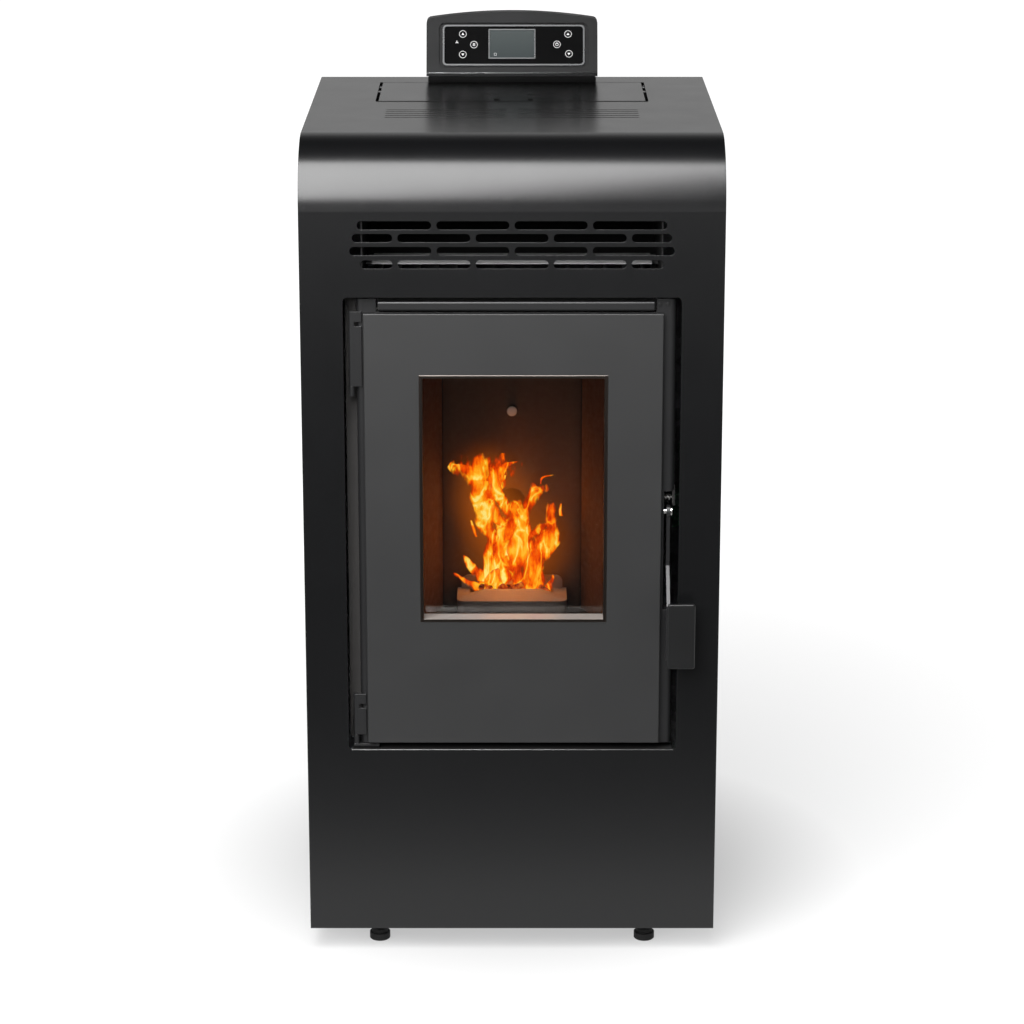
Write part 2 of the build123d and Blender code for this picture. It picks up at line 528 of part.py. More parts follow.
# ---- door ----------------------------------------------------------------------------------------
def door_frame():
    """The frame behind the decor panel, with the window's rebate and the rope's seat."""
    frame = block(DOOR_X0, DOOR_X1, DOOR_Y0, DOOR_Y1, DOOR_Z0, DOOR_Z1)
    front = frame.edges().filter_by(Axis.Z).group_by(Axis.Y)[0]
    frame = fillet(front, DOOR_EDGE_R)
    frame += block(PANEL_X0 + 3, PANEL_X1 - 3, PANEL_T, DOOR_Y0, PANEL_Z0 + 3, PANEL_Z1 - 3)
    grow = 3.0
    frame -= block(WIN_X0 - grow, WIN_X1 + grow, -5, DOOR_Y1 + 5, WIN_Z0 - grow, WIN_Z1 + grow)
    edge = REBATE + SEAL_CLEAR
    frame -= block(WIN_X0 - edge, WIN_X1 + edge, GLASS_Y - TAPE_T, DOOR_Y1 + 5, WIN_Z0 - edge, WIN_Z1 + edge)
    frame -= rope_ring(ROPE_R + 0.2, DOOR_Y1 - ROPE_DEEP, DOOR_Y1 + 9)
    inner = CORNER_W
    frame -= block(DOOR_X0 + inner - RAIL_GAP, DOOR_X1 - inner + RAIL_GAP, DOOR_Y0 - 8, DOOR_Y1 - 4,
                   RAIL_Z0 - RAIL_GAP, DOOR_Z1 + 5)
    frame -= block(LATCH_X0 - 3, DOOR_X1 + 1, DOOR_Y0 - 1, DOOR_Y1 + 1, LATCH_Z - 110, LATCH_Z + 24)
    frame -= rod(LATCH_X0 - 14, LATCH_Y, LATCH_Z, LATCH_PIN_R, 20, "X")
    for x in (DOOR_X1 - 18, DOOR_X1 - 9.5):
        frame += rod(x, DOOR_Y0 - 0.9, DOOR_Z1 - 6, 2.0, 3)
    return frame


def rope_ring(half_width, y0, y1):
    """The sealing rope's rounded ring, half_width to each side of its middle line, from y0 back to y1."""
    x, z0, z1 = BOX_X + 6.0, BOX_Z0 - 7.0, BOX_Z1 + 4.0
    r = half_width
    outer = rounded(-x - r, x + r, z0 - r, z1 + r, ROPE_CORNER + r, y0, y1)
    return outer - rounded(-x + r, x - r, z0 + r, z1 - r, ROPE_CORNER - r, y0 - 1, y1 + 1)


def door_rope():
    """The heat-proof rope in its seat, pressed flat on the side of the firebox flange."""
    return rope_ring(ROPE_R, DOOR_Y1 - ROPE_DEEP, FLANGE_Y - BOX_T - SEAL_CLEAR)


def door_panel():
    """The flush outer panel with its window opening and finely turned edges."""
    panel = block(PANEL_X0, PANEL_X1, 0, PANEL_T, PANEL_Z0, PANEL_Z1)
    panel = chamfer(panel.edges().filter_by(Axis.Y, reverse=True).group_by(Axis.Y)[0], 0.6)
    return panel - block(WIN_X0 - TRIM_T, WIN_X1 + TRIM_T, -1, PANEL_T + 1, WIN_Z0 - TRIM_T, WIN_Z1 + TRIM_T)


def window_trim():
    """The polished frame: a thin lip on the panel and the sleeve that runs back to the glass."""
    t, gap = TRIM_T, 0.3
    y1 = GLASS_Y - TAPE_T - gap
    sleeve = block(WIN_X0 - t + 0.2, WIN_X1 + t - 0.2, 0, y1, WIN_Z0 - t + 0.2, WIN_Z1 + t - 0.2)
    out = TRIM_LIP + t
    lip = block(WIN_X0 - out, WIN_X1 + out, -0.8, 0, WIN_Z0 - out, WIN_Z1 + out)
    lip = chamfer(lip.edges().filter_by(Axis.Y, reverse=True).group_by(Axis.Y)[0], 0.5)
    return sleeve + lip - block(WIN_X0, WIN_X1, -2, y1 + 1, WIN_Z0, WIN_Z1)


def glazing():
    """The glass, the tape that it presses on, and the clips behind it."""
    e = REBATE
    glass = block(WIN_X0 - e, WIN_X1 + e, GLASS_Y, GLASS_Y + GLASS_T, WIN_Z0 - e, WIN_Z1 + e)
    glass = chamfer(glass.edges().filter_by(Axis.Y), 2)
    tape = block(WIN_X0 - e, WIN_X1 + e, GLASS_Y - TAPE_T, GLASS_Y, WIN_Z0 - e, WIN_Z1 + e)
    tape -= block(WIN_X0 - 2.5, WIN_X1 + 2.5, 0, GLASS_Y + 1, WIN_Z0 - 2.5, WIN_Z1 + 2.5)
    clips = []
    cx = (WIN_X0 + WIN_X1) / 2
    for z in (WIN_Z0 - e, WIN_Z1 + e):
        for x in (cx - 60, cx + 60):
            up = -1 if z > LATCH_Z else 1
            z0, z1 = sorted((z + up * 8, z - up * 12))
            clip = block(x - 9, x + 9, DOOR_Y1, DOOR_Y1 + 1.5, z0, z1)
            clip += block(x - 9, x + 9, GLASS_Y + GLASS_T, DOOR_Y1 + 0.1, *sorted((z + up * 8, z + up * 1)))
            clips.append(clip)
    return glass, tape, clips


def top_rail():
    """The bar over the panel, between the two corner blocks."""
    x0, x1 = DOOR_X0 + CORNER_W, DOOR_X1 - CORNER_W
    rail = block(x0, x1, 2, DOOR_Y1 - 4, RAIL_Z0, RAIL_Z0 + RAIL_H)
    return fillet(rail.edges().filter_by(Axis.X).group_by(Axis.Y)[0], 2)


# ---- hinges --------------------------------------------------------------------------------------
def hinges():
    """Lift-off hinges: brackets and pins on the firebox flange, leaves with long knuckles on the door."""
    fixed, pins, leaves = [], [], []
    x, y, r = HINGE_X, HINGE_Y, KNUCKLE_R
    for foot, top, pin_top in HINGES:
        split = foot + FIXED_KNUCKLE_H
        bracket = rod(x, y, foot, r, FIXED_KNUCKLE_H, "Z")
        bracket += block(x - r, x - r + 2.5, y, FLANGE_Y - BOX_T, foot, split)
        bracket += block(x - r - 1.5, x - r + 2.5, FLANGE_Y - BOX_T - 2.5, FLANGE_Y - BOX_T, foot, foot + 26)
        bracket -= rod(x, y, foot - 1, HINGE_PIN_R, 30, "Z")
        fixed.append(bracket)
        pins.append(rod(x, y, foot, HINGE_PIN_R, pin_top - foot, "Z"))
        leaf = rod(x, y, split + KNUCKLE_GAP, r, top - split - KNUCKLE_GAP, "Z")
        leaf += block(x, PANEL_X0 - 2, y - LEAF_T, y, split + KNUCKLE_GAP, top)
        leaf -= block(x + r + 0.4, PANEL_X0, y - 5, y + 1, top - 16, top - 11)
        bore = HINGE_PIN_R + RUNNING
        leaf -= rod(x, y, split, bore, pin_top - split + 0.5, "Z")
        leaves.append(leaf)
    low = HINGES[1][0]
    fixed[1] += block(x - r, HINGE_FOOT_X, y - r, FLANGE_Y - BOX_T, low - 3, low)
    return fixed, pins, leaves


# ---- latch ---------------------------------------------------------------------------------------
def latch():
    """Flat-bar lever with an eye and a hook, its pin, the handle plate, and the keeper roller on its bracket."""
    y, z = LATCH_Y, LATCH_Z
    a, b = LATCH_X0, LATCH_X1
    lever = rod(a, y, z, LATCH_EYE_R, b - a, "X")
    grip, back = HANDLE_Y + HANDLE_T, HANDLE_Y + 12
    lever += profile_yz([(y - 4, z), (y + 4, z), (y + 3, z - 58), (back, z - 96), (back, z - 160),
                         (grip, z - 160), (grip, z - 97), (y - 5, z - 60)], a, b)
    tip = HOOK_REACH
    lever += profile_yz([(y, z - 5), (y + tip, z - 5), (y + tip, z + 5.4), (y + tip - HOOK_TIP, z + 5.4),
                         (y + tip - HOOK_TIP, z + 2.4), (y, z + 2.4)], a, b)
    lever += block(a, OPEN_X1 - 1, grip, grip + 3, HANDLE_Z0 + 8, HANDLE_Z1 - 8)
    lever -= rod(a - 1, y, z, LATCH_PIN_R + RUNNING, 10, "X")
    pin = rod(a - 12, y, z, LATCH_PIN_R, b - a + 12.6, "X") + rod(b + 0.6, y, z, LATCH_PIN_R + 2, 1.6, "X")
    plate = rounded(HANDLE_X0, HANDLE_X1, HANDLE_Z0, HANDLE_Z1, 2.5, HANDLE_Y, HANDLE_Y + HANDLE_T)
    plate = chamfer(plate.faces().sort_by(Axis.Y)[0].edges(), 0.8)
    ky, kz = y + ROLLER_DY, z + ROLLER_DZ
    roller = tube(a - 1, ky, kz, ROLLER_R, 2, b - a + 2, "X")
    keeper_pin = rod(a - 6, ky, kz, 2, b - a + 12, "X")
    bracket = block(a - 6, a - 3, FLANGE_Y, ky + 6, kz - 8, kz + 14) - rod(a - 10, ky, kz, 2, 30, "X")
    far = block(b + 3, b + 6, FLANGE_Y - 2, ky + 6, kz - 8, kz + 14) - rod(a - 10, ky, kz, 2, 30, "X")
    bridge = block(a - 6, b + 6, FLANGE_Y, ky + 6, kz + 11, kz + 14)
    return lever, pin, plate, roller, keeper_pin, bracket + far + bridge


# ---- fuel feed -----------------------------------------------------------------------------------
def auger_plane(distance=0.0):
    """A plane across the feed tube, with its normal up along the tube."""
    a = radians(AUGER_TILT)
    y, z = AUGER_LOW
    origin = (0, y - cos(a) * distance, z + sin(a) * distance)
    return Plane(origin=origin, x_dir=(1, 0, 0), z_dir=(0, -cos(a), sin(a)))


def auger_rod(start, length, radius):
    """A round bar along the feed tube's axis."""
    return extrude(auger_plane(start) * Circle(radius), amount=length)


def hopper():
    """The folded pellet bin: straight walls, a tapering floor and the throat that sits on the feed tube."""
    x = LID_OPEN_X + 4 + HOPPER_CLEAR
    y0, y1 = LID_Y0 - 4, DEPTH - 30
    top = HEIGHT - SHEET - 18
    cy = (y0 + y1) / 2
    ty = AUGER_LOW[0] - THROAT_IN
    t = HOPPER_T

    def bin_form(inset, extra):
        straight = block(-x + inset, x - inset, y0 + inset, y1 - inset, HOPPER_BEND_Z, top + extra)
        low = Plane(origin=(0, ty, THROAT_Z)) * Rectangle(THROAT_W - 2 * inset, THROAT_D - 2 * inset)
        high = Plane(origin=(0, cy, HOPPER_BEND_Z)) * Rectangle(2 * (x - inset), y1 - y0 - 2 * inset)
        throat = block(-THROAT_W / 2 + inset, THROAT_W / 2 - inset, ty - THROAT_D / 2 + inset,
                       ty + THROAT_D / 2 - inset, THROAT_Z - 90 - extra, THROAT_Z)
        return straight + loft([low, high]) + throat

    body = bin_form(0, 0) - bin_form(t, 20)
    rim = block(-x - 8, x + 8, y0 - 8, y1 + 8, top - t, top) - block(-x + t, x - t, y0 + t, y1 - t, top - 9, top + 9)
    outer = AUGER_BORE + AUGER_WALL
    return body + rim - auger_rod(-40, AUGER_LEN + 80, outer) - auger_under_cut(outer)


def auger_under_cut(outer):
    """All the space below the middle of the feed tube, where the throat ends."""
    reach = 2 * AUGER_LEN
    cut = Pos(0, 0, -reach / 2) * Box(THROAT_W * 2, reach, reach)
    plane = auger_plane(60)
    a = radians(AUGER_TILT)
    turned = Plane(origin=plane.origin, x_dir=(1, 0, 0), z_dir=(0, sin(a), cos(a)))
    return turned.location * cut


def feed_tube():
    """The inclined feed tube, open under the throat, with its outlet and mounting flange."""
    outer = AUGER_BORE + AUGER_WALL
    body = auger_rod(0, AUGER_LEN, outer) + auger_rod(0, 4, outer + 9)
    body -= auger_rod(-5, AUGER_LEN - 3 + 5, AUGER_BORE)
    ty = AUGER_LOW[0] - THROAT_IN
    w, d = THROAT_W / 2 - HOPPER_T - 1, THROAT_D / 2 - HOPPER_T - 1
    lid_z = AUGER_LOW[1] + THROAT_IN * tan(radians(AUGER_TILT))
    body -= block(-w, w, ty - d, ty + d, lid_z, lid_z + 90)
    oy, oz = outlet_point()
    body -= block(-16, 16, oy - 16, oy + 16, oz - 60, oz)
    return body


def outlet_point():
    """y and z of the middle of the feed tube's outlet, on the axis."""
    a = radians(AUGER_TILT)
    reach = AUGER_LEN - OUTLET_IN
    return AUGER_LOW[0] - cos(a) * reach, AUGER_LOW[1] + sin(a) * reach


def feed_screw():
    """The feed screw: one unbroken flight round a core, with its drive end."""
    height = AUGER_LEN - 16
    root = SCREW_CORE - SCREW_ROOT
    helix = Helix(pitch=SCREW_PITCH, height=height - 8, radius=(SCREW_R + root) / 2)
    start = helix.edges()[0]
    across = Plane(origin=start @ 0, x_dir=(1, 0, 0), z_dir=start % 0)
    flight = sweep(across * Rectangle(SCREW_R - root, SCREW_FLIGHT), path=helix, is_frenet=True)
    core = extrude(Plane.XY.offset(-DRIVE_END) * Circle(SCREW_CORE), amount=height + DRIVE_END)
    return auger_plane(8).location * (Pos(0, 0, 6) * flight + core)


def gearmotor():
    """The slow gearmotor on the lower end of the feed tube, with its flange and bushing bore."""
    plane = auger_plane(0)
    box = plane.location * (Pos(0, 0, -4 - GEAR_LEN / 2) * Box(62, 62, GEAR_LEN))
    along = Axis((0, 0, 0), tuple(plane.z_dir))
    box = fillet(box.edges().filter_by(along), 6)
    flange = auger_rod(-4, 4, AUGER_BORE + AUGER_WALL + 9)
    motor = auger_rod(-4 - GEAR_LEN - MOTOR_LEN, MOTOR_LEN, 22)
    bore = auger_rod(-10, 12, SCREW_CORE + RUNNING)
    return box + flange + motor - bore


def pellet_chute():
    """The drop pipe: from under the feed tube's outlet down and forward into the fire's back wall."""
    oy, oz = outlet_point()
    outer, bore = PORT_BORE + 1.5, PORT_BORE
    low = (0, LINING_BACK_Y + 0.5, PORT_Z)
    level = (0, BOX_BACK + BOX_T + CHUTE_STUB, PORT_Z)
    bend = (0, oy, PORT_Z + (oy - level[1]) * CHUTE_RISE)
    top = (0, oy, oz + 2)
    path = FilletPolyline(low, level, bend, top, radius=CHUTE_BEND)
    begin = Plane(origin=path @ 0, z_dir=path % 0)
    pipe = sweep(begin * Circle(outer), path=path) - sweep(begin * Circle(bore), path=path)
    return pipe - auger_rod(-40, AUGER_LEN + 80, AUGER_BORE + AUGER_WALL)


# ---- air -----------------------------------------------------------------------------------------
def exhaust_fan():
    """The smoke fan: a scroll housing on the firebox's back, its wheel, its motor and the outlet pipe."""
    y0, y1 = BOX_BACK + BOX_T, BOX_BACK + BOX_T + FAN_DEPTH
    wall = 2.0
    scroll_r = IMPELLER_R + 16

    def form(inset, a, b):
        body = rod(FAN_X, a, FAN_Z, scroll_r - inset, b - a)
        neck = block(FLUE_X - FLUE_R + inset, FLUE_X + FLUE_R - inset, a, b, FLUE_Z + NECK_LOW + inset, FAN_Z)
        return body + neck

    housing = form(0, y0, y1) - form(wall, y0 + wall, y1 - wall)
    housing -= rod(FAN_X, y0 - 1, FAN_Z, 28, 5)
    housing -= rod(FAN_X, y1 - 5, FAN_Z, 6, 10)
    elbow_y = (y0 + y1) / 2
    inside_r = FLUE_R - SPIGOT_STEP
    housing -= rod(FLUE_X, elbow_y, FLUE_Z + NECK_LOW - 5, inside_r - FLUE_WALL, 15, "Z")
    wheel = rod(FAN_X, y0 + 10, FAN_Z, IMPELLER_R, 2) + rod(FAN_X, y0 + 12, FAN_Z, 12, 30)
    for i in range(10):
        blade = block(FAN_X + 14, FAN_X + IMPELLER_R - 2, y0 + 12, y0 + 40, FAN_Z - 1, FAN_Z + 1)
        wheel += blade.rotate(Axis((FAN_X, 0, FAN_Z), (0, 1, 0)), i * 36.0)
    wheel += rod(FAN_X, y0 + 40, FAN_Z, 5, y1 - y0 - 40 + 8)
    motor = rod(FAN_X, y1, FAN_Z, 38, 44) + rod(FAN_X, y1, FAN_Z, 46, 4)
    motor -= rod(FAN_X, y1 - 1, FAN_Z, 5 + RUNNING, 12)
    for i in range(2):
        motor -= tube(FAN_X, y1 + 12 + i * 14, FAN_Z, 50, 36, 6)
    corners = (FLUE_X, elbow_y, FLUE_Z + NECK_LOW), (FLUE_X, elbow_y, FLUE_Z), (FLUE_X, DEPTH + STUB, FLUE_Z)
    path = FilletPolyline(*corners, radius=FLUE_R + 8)
    begin = Plane(origin=path @ 0, z_dir=path % 0)
    pipe = sweep(begin * Circle(inside_r), path=path) - sweep(begin * Circle(inside_r - FLUE_WALL), path=path)
    pipe += tube(FLUE_X, DEPTH + 1, FLUE_Z, FLUE_R, inside_r - FLUE_WALL, STUB - 1)
    return housing, wheel, motor, pipe


def intake_pipe():
    """The combustion-air pipe from the back of the stove to the box under the hearth."""
    y0 = BOX_BACK + BOX_T
    bore = INTAKE_R - SPIGOT_STEP - INTAKE_WALL
    pipe = tube(INTAKE_X, y0, INTAKE_Z, INTAKE_R - SPIGOT_STEP, bore, DEPTH + INTAKE_STUB - y0)
    pipe += tube(INTAKE_X, DEPTH + 1, INTAKE_Z, INTAKE_R, bore, INTAKE_STUB - 1)
    return pipe + tube(INTAKE_X, y0, INTAKE_Z, INTAKE_R + 8, INTAKE_R - 1, 2)


def room_fan():
    """The room-air fan: a long drum of thin blades in a bent housing, with its motor on the left end."""
    y, z, r = DRUM_Y, DRUM_Z, DRUM_R
    x0, x1 = DRUM_X0 + 50, DRUM_X1
    drum = rod(x0, y, z, r, 2, "X") + rod(x1 - 2, y, z, r, 2, "X") + rod(x0 - 14, y, z, 3, x1 - x0 + 20, "X")
    for i in range(18):
        blade = block(x0, x1, y + r - 6, y + r - 0.8, z - 0.8, z + 0.8)
        drum += blade.rotate(Axis((0, y, z), (1, 0, 0)), i * 20.0)
    outer = r + 7
    shell = rod(x0 - 6, y, z, outer, x1 - x0 + 12, "X") - rod(x0 - 4, y, z, outer - 1.5, x1 - x0 + 8, "X")
    shell -= block(x0 - 4, x1 + 4, y - outer - 5, y - 8, z, z + outer + 5)
    shell -= block(x0 - 4, x1 + 4, y + 4, y + outer + 5, z - outer - 5, z + 10)
    shell -= rod(x0 - 8, y, z, 3 + RUNNING, x1 - x0 + 16, "X")
    for a in (x0 - 6, x1 + 4):
        shell += block(a, a + 2, y - outer + 8, y + outer - 8, FOOT_HEIGHT + 2, z - outer + 12)
    motor = rod(DRUM_X0 + 2, y, z, 30, 42, "X") - rod(x0 - 16, y, z, 3 + RUNNING, 20, "X")
    for i in range(2):
        motor -= tube(DRUM_X0 + 11 + i * 12, y, z, 34, 28, 5, "X")
    return drum, shell, motor


def warm_air_duct():
    """The bent sheet that leads warm air from the firebox to the grille and the top vents."""
    z0, z1 = BOX_TOP + SEAM, HEIGHT - SHEET - SEAM
    x, back = DUCT_X, DUCT_BACK
    duct = block(-x - SHEET, x + SHEET, BEND_OUTER, back + SHEET, z0, z1)
    duct -= block(-x, x, BEND_OUTER - 1, back, z0 - 1, z1 + 1)
    bend_top = HEIGHT - BEND_OUTER
    for side in (-1, 1):
        a, b = sorted((side * x, side * (x + SHEET)))
        duct += block(a, b, SHEET + SEAM, BEND_OUTER, z0, bend_top)
        round_part = rod(a, BEND_OUTER, bend_top, BEND_OUTER - SHEET - SEAM, b - a, "X")
        duct += round_part & block(a, b, 0, BEND_OUTER, bend_top, HEIGHT)
    duct += block(-x, x, BOX_BACK + BOX_T + 1, back, z0, z0 + SHEET)
    return duct


def heat_exchanger():
    """The cast fins on top of the firebox and the bright sheet above them that turns the air forward."""
    z = BOX_TOP
    cast = block(-146, 146, 40, 162, z, z + 3)
    for i in range(15):
        x = -140 + i * 20
        cast += block(x - 1.5, x + 1.5, 42, 160, z + 3, z + 12)
    sheet = block(-DUCT_X + SEAM, DUCT_X - SEAM, 84, 136, z + 12, z + 13.2)
    slope = profile_yz([(136, z + 12), (136, z + 13.2), (DUCT_BACK - 1, z + 61.2), (DUCT_BACK - 1, z + 60)],
                       -DUCT_X + SEAM, DUCT_X - SEAM)
    return cast, sheet + slope


# ---- electrics -----------------------------------------------------------------------------------
def control_board():
    """The main board on four posts of the left side, with its larger parts."""
    x = WIDTH / 2 - SHEET - BOARD_STAND_OFF
    y1, z0 = DEPTH - BOARD_IN, BOARD_Z
    y0, z1 = y1 - BOARD_W, z0 + BOARD_H
    board = block(x - BOARD_T, x, y0, y1, z0, z1)
    for y in (y0 + 8, y1 - 8):
        for z in (z0 + 8, z1 - 8):
            board += rod(x, y, z, 3, BOARD_STAND_OFF, "X")
    for along, up, w, h, d in BOARD_PARTS:
        board += block(x - BOARD_T - d, x - BOARD_T, y0 + along, y0 + along + w, z0 + up, z0 + up + h)
    return board


def mains_inlet():
    """The three-pin mains inlet with its rocker switch, let into the rear panel."""
    x, z, w, h = INLET_X, INLET_Z, INLET_W, INLET_H
    face = block(x - w / 2 - 2, x + w / 2 + 2, DEPTH, DEPTH + 2, z - h / 2 - 2, z + h / 2 + 2)
    face = chamfer(face.edges().filter_by(Axis.Y, reverse=True).group_by(Axis.Y)[-1], 0.8)
    body = block(x - w / 2 + 2.3, x + w / 2 - 2.3, DEPTH - 26, DEPTH, z - h / 2 + 2.3, z + h / 2 - 2.3)
    inlet = face + body
    inlet -= block(x - 10, x + 10, DEPTH - 16, DEPTH + 5, z - 20, z - 2)
    inlet -= block(x - 9.3, x + 9.3, DEPTH - 9, DEPTH + 5, z + 4.7, z + 17.3)
    for dx, dz in ((-6, -13), (6, -13), (0, -8)):
        inlet += block(x + dx - 1, x + dx + 1, DEPTH - 17, DEPTH - 3, z + dz - 2, z + dz + 2)
    pivot_y = DEPTH - 3
    inlet -= rod(x - 11, pivot_y, z + 11, 1.0 + RUNNING, 22, "X")
    rocker = profile_yz([(pivot_y - 2.5, z + 6.5), (pivot_y + 4.2, z + 5.6), (pivot_y + 2.6, z + 11),
                         (pivot_y + 4.2, z + 16.4), (pivot_y - 2.5, z + 15.5)], x - 9, x + 9)
    rocker += rod(x - 10.8, pivot_y, z + 11, 1.0, 21.6, "X")
    return inlet, rocker


def safety_thermostat():
    """The over-heat cut-out with its round cap, beside the inlet."""
    body = rod(STAT_X, DEPTH - 18, STAT_Z, STAT_R - 0.5, 20) + rod(STAT_X, DEPTH, STAT_Z, STAT_R + 2.5, 2)
    return body + rod(STAT_X, DEPTH + 2, STAT_Z, 6, 6)


# ---- control console -----------------------------------------------------------------------------
def face_plane(raise_by=0.0):
    """The console's sloping face: X across, Y up the slope, Z out of it."""
    a = radians(CON_TILT)
    normal = (0, -cos(a), sin(a))
    origin = (0, CON_Y0 - cos(a) * raise_by, CON_FLOOR_Z + sin(a) * raise_by)
    return Plane(origin=origin, x_dir=(1, 0, 0), z_dir=normal)


def on_face(shape, u, v, low, high):
    """A flat shape at (u, v) on the sloping face, extruded from depth low to depth high."""
    return extrude(face_plane(low) * Pos(u, v) * shape, amount=high - low)


def console():
    """Plinth, arched housing, key panel, silver bezel, screen with its frame, and six round keys."""
    plinth = block(-CON_X + 3, CON_X - 3, CON_Y0 + 3, CON_Y1 - 3, HEIGHT, HEIGHT + PLINTH_H)
    plinth -= rod(0, (CON_Y0 + CON_Y1) / 2, HEIGHT - 1, 8, 20, "Z")
    x, z0 = CON_X, HEIGHT + PLINTH_H
    outline = [Line((-x, z0), (-x, CON_SIDE_Z)),
               ThreePointArc((-x, CON_SIDE_Z), (0, CON_TOP_Z), (x, CON_SIDE_Z)),
               Line((x, CON_SIDE_Z), (x, z0)),
               Line((x, z0), (-x, z0))]
    face = make_face([e for line in outline for e in line.edges()])
    upright = Plane(origin=(0, CON_Y1, 0), x_dir=(1, 0, 0), z_dir=(0, -1, 0))
    slab = extrude(upright * face, amount=CON_Y1)
    lean = tan(radians(CON_TILT))
    top = CON_TOP_Z + 10
    slope = profile_yz([(CON_Y0, z0), (CON_Y0, CON_FLOOR_Z), (CON_Y0 + (top - CON_FLOOR_Z) * lean, top),
                        (CON_Y1, top), (CON_Y1, z0)], -x - 5, x + 5)
    corners = [e for e in slab.edges().filter_by(Axis.Y) if e.center().Z > CON_SIDE_Z - 2]
    housing = fillet(corners, 6) & slope
    deep, u, v = 2.0, FACE_CX, FACE_V
    housing -= on_face(RectangleRounded(FACE_W, FACE_H, 7), u, v, -deep, 5)
    well = 9.0
    housing -= on_face(RectangleRounded(BEZEL_W - 8, BEZEL_H - 8, 3), u, v, -well, 5)
    edge = RectangleRounded(BEZEL_W, BEZEL_H, 5)
    bezel = on_face(edge, u, v, -deep, 0.4)
    bezel -= on_face(RectangleRounded(BEZEL_W - 4, BEZEL_H - 4, 3.5), u, v, -5, 5)
    panel = on_face(RectangleRounded(BEZEL_W - 4.4, BEZEL_H - 4.4, 3), u, v, -deep, -0.4)
    frame_w, frame_h = SCREEN_W + 3.2, SCREEN_H + 3.2
    panel -= on_face(RectangleRounded(frame_w, frame_h, 1.2), 0, SCREEN_V, -5, 5)
    screen_frame = on_face(RectangleRounded(frame_w - 0.2, frame_h - 0.2, 1.1), 0, SCREEN_V, -well + 2, 0.1)
    screen_frame -= on_face(Rectangle(SCREEN_W, SCREEN_H), 0, SCREEN_V, -well + 3.5, 5)
    screen = on_face(Rectangle(SCREEN_W - 0.2, SCREEN_H - 0.2), 0, SCREEN_V, -well + 3.5, -0.6)
    keys = {}
    board = on_face(RectangleRounded(BEZEL_W - 9, BEZEL_H - 9, 2), u, v, -well, -well + 1.6)
    for name, ku, kv in KEYS:
        panel -= on_face(Circle(KEY_R + KEY_CLEAR), ku, kv, -5, 5)
        cap = on_face(Circle(KEY_R), ku, kv, -deep - 1.0, 0.5)
        ring = chamfer(cap.edges().group_by(Axis((0, 0, 0), face_plane().z_dir))[-1], 0.5)
        stem = on_face(Circle(1.6), ku, kv, -well + 1.6 + KEY_TRAVEL + 0.15, -deep - 0.9)
        keys["key_" + name] = ring + stem
    return plinth, housing, bezel, panel, screen_frame, screen, board, keys


# ---- the whole stove -----------------------------------------------------------------------------
def build():
    """Make every piece and write each one to its own file."""
    keep("front_cover", front_cover())
    keep("left_side_panel", side_panel(-1))
    keep("right_side_panel", side_panel(1))
    keep("base_plate", base_plate())
    keep("rear_panel", rear_panel())
    discs, studs, nuts = feet()
    keep("feet", *discs)
    keep("feet_studs", *studs, *nuts)
    lid, pins, brackets = hopper_lid()
    keep("hopper_lid", lid)
    keep("lid_hinges", *pins, *brackets)
    keep("firebox", firebox())
    plate, cap = back_lining()
    keep("back_lining", plate, cap)
    keep("side_linings", side_lining(-1), side_lining(1))
    keep("smoke_baffle", smoke_baffle())
    keep("burn_pot", burn_pot())
    keep("ash_drawer", *ash_drawer())
    keep("igniter", *igniter())
    keep("door_frame", door_frame())
    keep("door_panel", door_panel())
    keep("window_trim", window_trim())
    glass, tape, clips = glazing()
    keep("window_glass", glass)
    keep("door_seals", door_rope(), tape)
    keep("glass_clips", *clips)
    keep("door_top_rail", top_rail())
    fixed, pins, leaves = hinges()
    keep("hinge_brackets", *fixed, *pins)
    keep("hinge_leaves", *leaves)
    lever, pin, plate, roller, keeper_pin, bracket = latch()
    keep("latch_lever", lever)
    keep("latch_pin", pin)
    keep("handle_plate", plate)
    keep("latch_keeper", bracket, keeper_pin, roller)
    keep("hopper", hopper())
    keep("feed_tube", feed_tube())
    keep("feed_screw", feed_screw())
    keep("feed_gearmotor", gearmotor())
    keep("pellet_chute", pellet_chute())
    housing, wheel, motor, pipe = exhaust_fan()
    keep("exhaust_fan_housing", housing)
    keep("exhaust_fan_wheel", wheel)
    keep("exhaust_fan_motor", motor)
    keep("flue_pipe", pipe)
    keep("intake_pipe", intake_pipe())
    drum, shell, motor = room_fan()
    keep("room_fan_drum", drum)
    keep("room_fan_housing", shell)
    keep("room_fan_motor", motor)
    keep("warm_air_duct", warm_air_duct())
    keep("heat_exchanger", *heat_exchanger())
    keep("control_board", control_board())
    inlet, rocker = mains_inlet()
    keep("mains_inlet", inlet)
    keep("rocker_switch", rocker)
    keep("safety_thermostat", safety_thermostat())
    plinth, housing, bezel, panel, screen_frame, screen, board, keys = console()
    keep("console_housing", housing + plinth)
    keep("console_bezel", bezel)
    keep("key_panel", panel)
    keep("screen_frame", screen_frame)
    keep("screen_glass", screen)
    keep("key_board", board)
    for name, shape in keys.items():
        keep(name, shape)
    os.makedirs("parts", exist_ok=True)
    for name, shape in PARTS.items():
        export_step(shape, f"parts/{name}.step")
    print(len(PARTS), "pieces; y centre", Y_CENTRE)


build()
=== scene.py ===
# %% [markdown]
# # Dressing a pellet stove
# The stove's working parts are already modelled: sheets, door, hinges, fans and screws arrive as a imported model, the
# frame.  This script never moves them.  It gives every surface its finish, adds the fire and the small printed and
# pressed details that a solid model leaves out, and sets up a camera and soft studio light.

# %% Load the working parts
import json
import math
import random

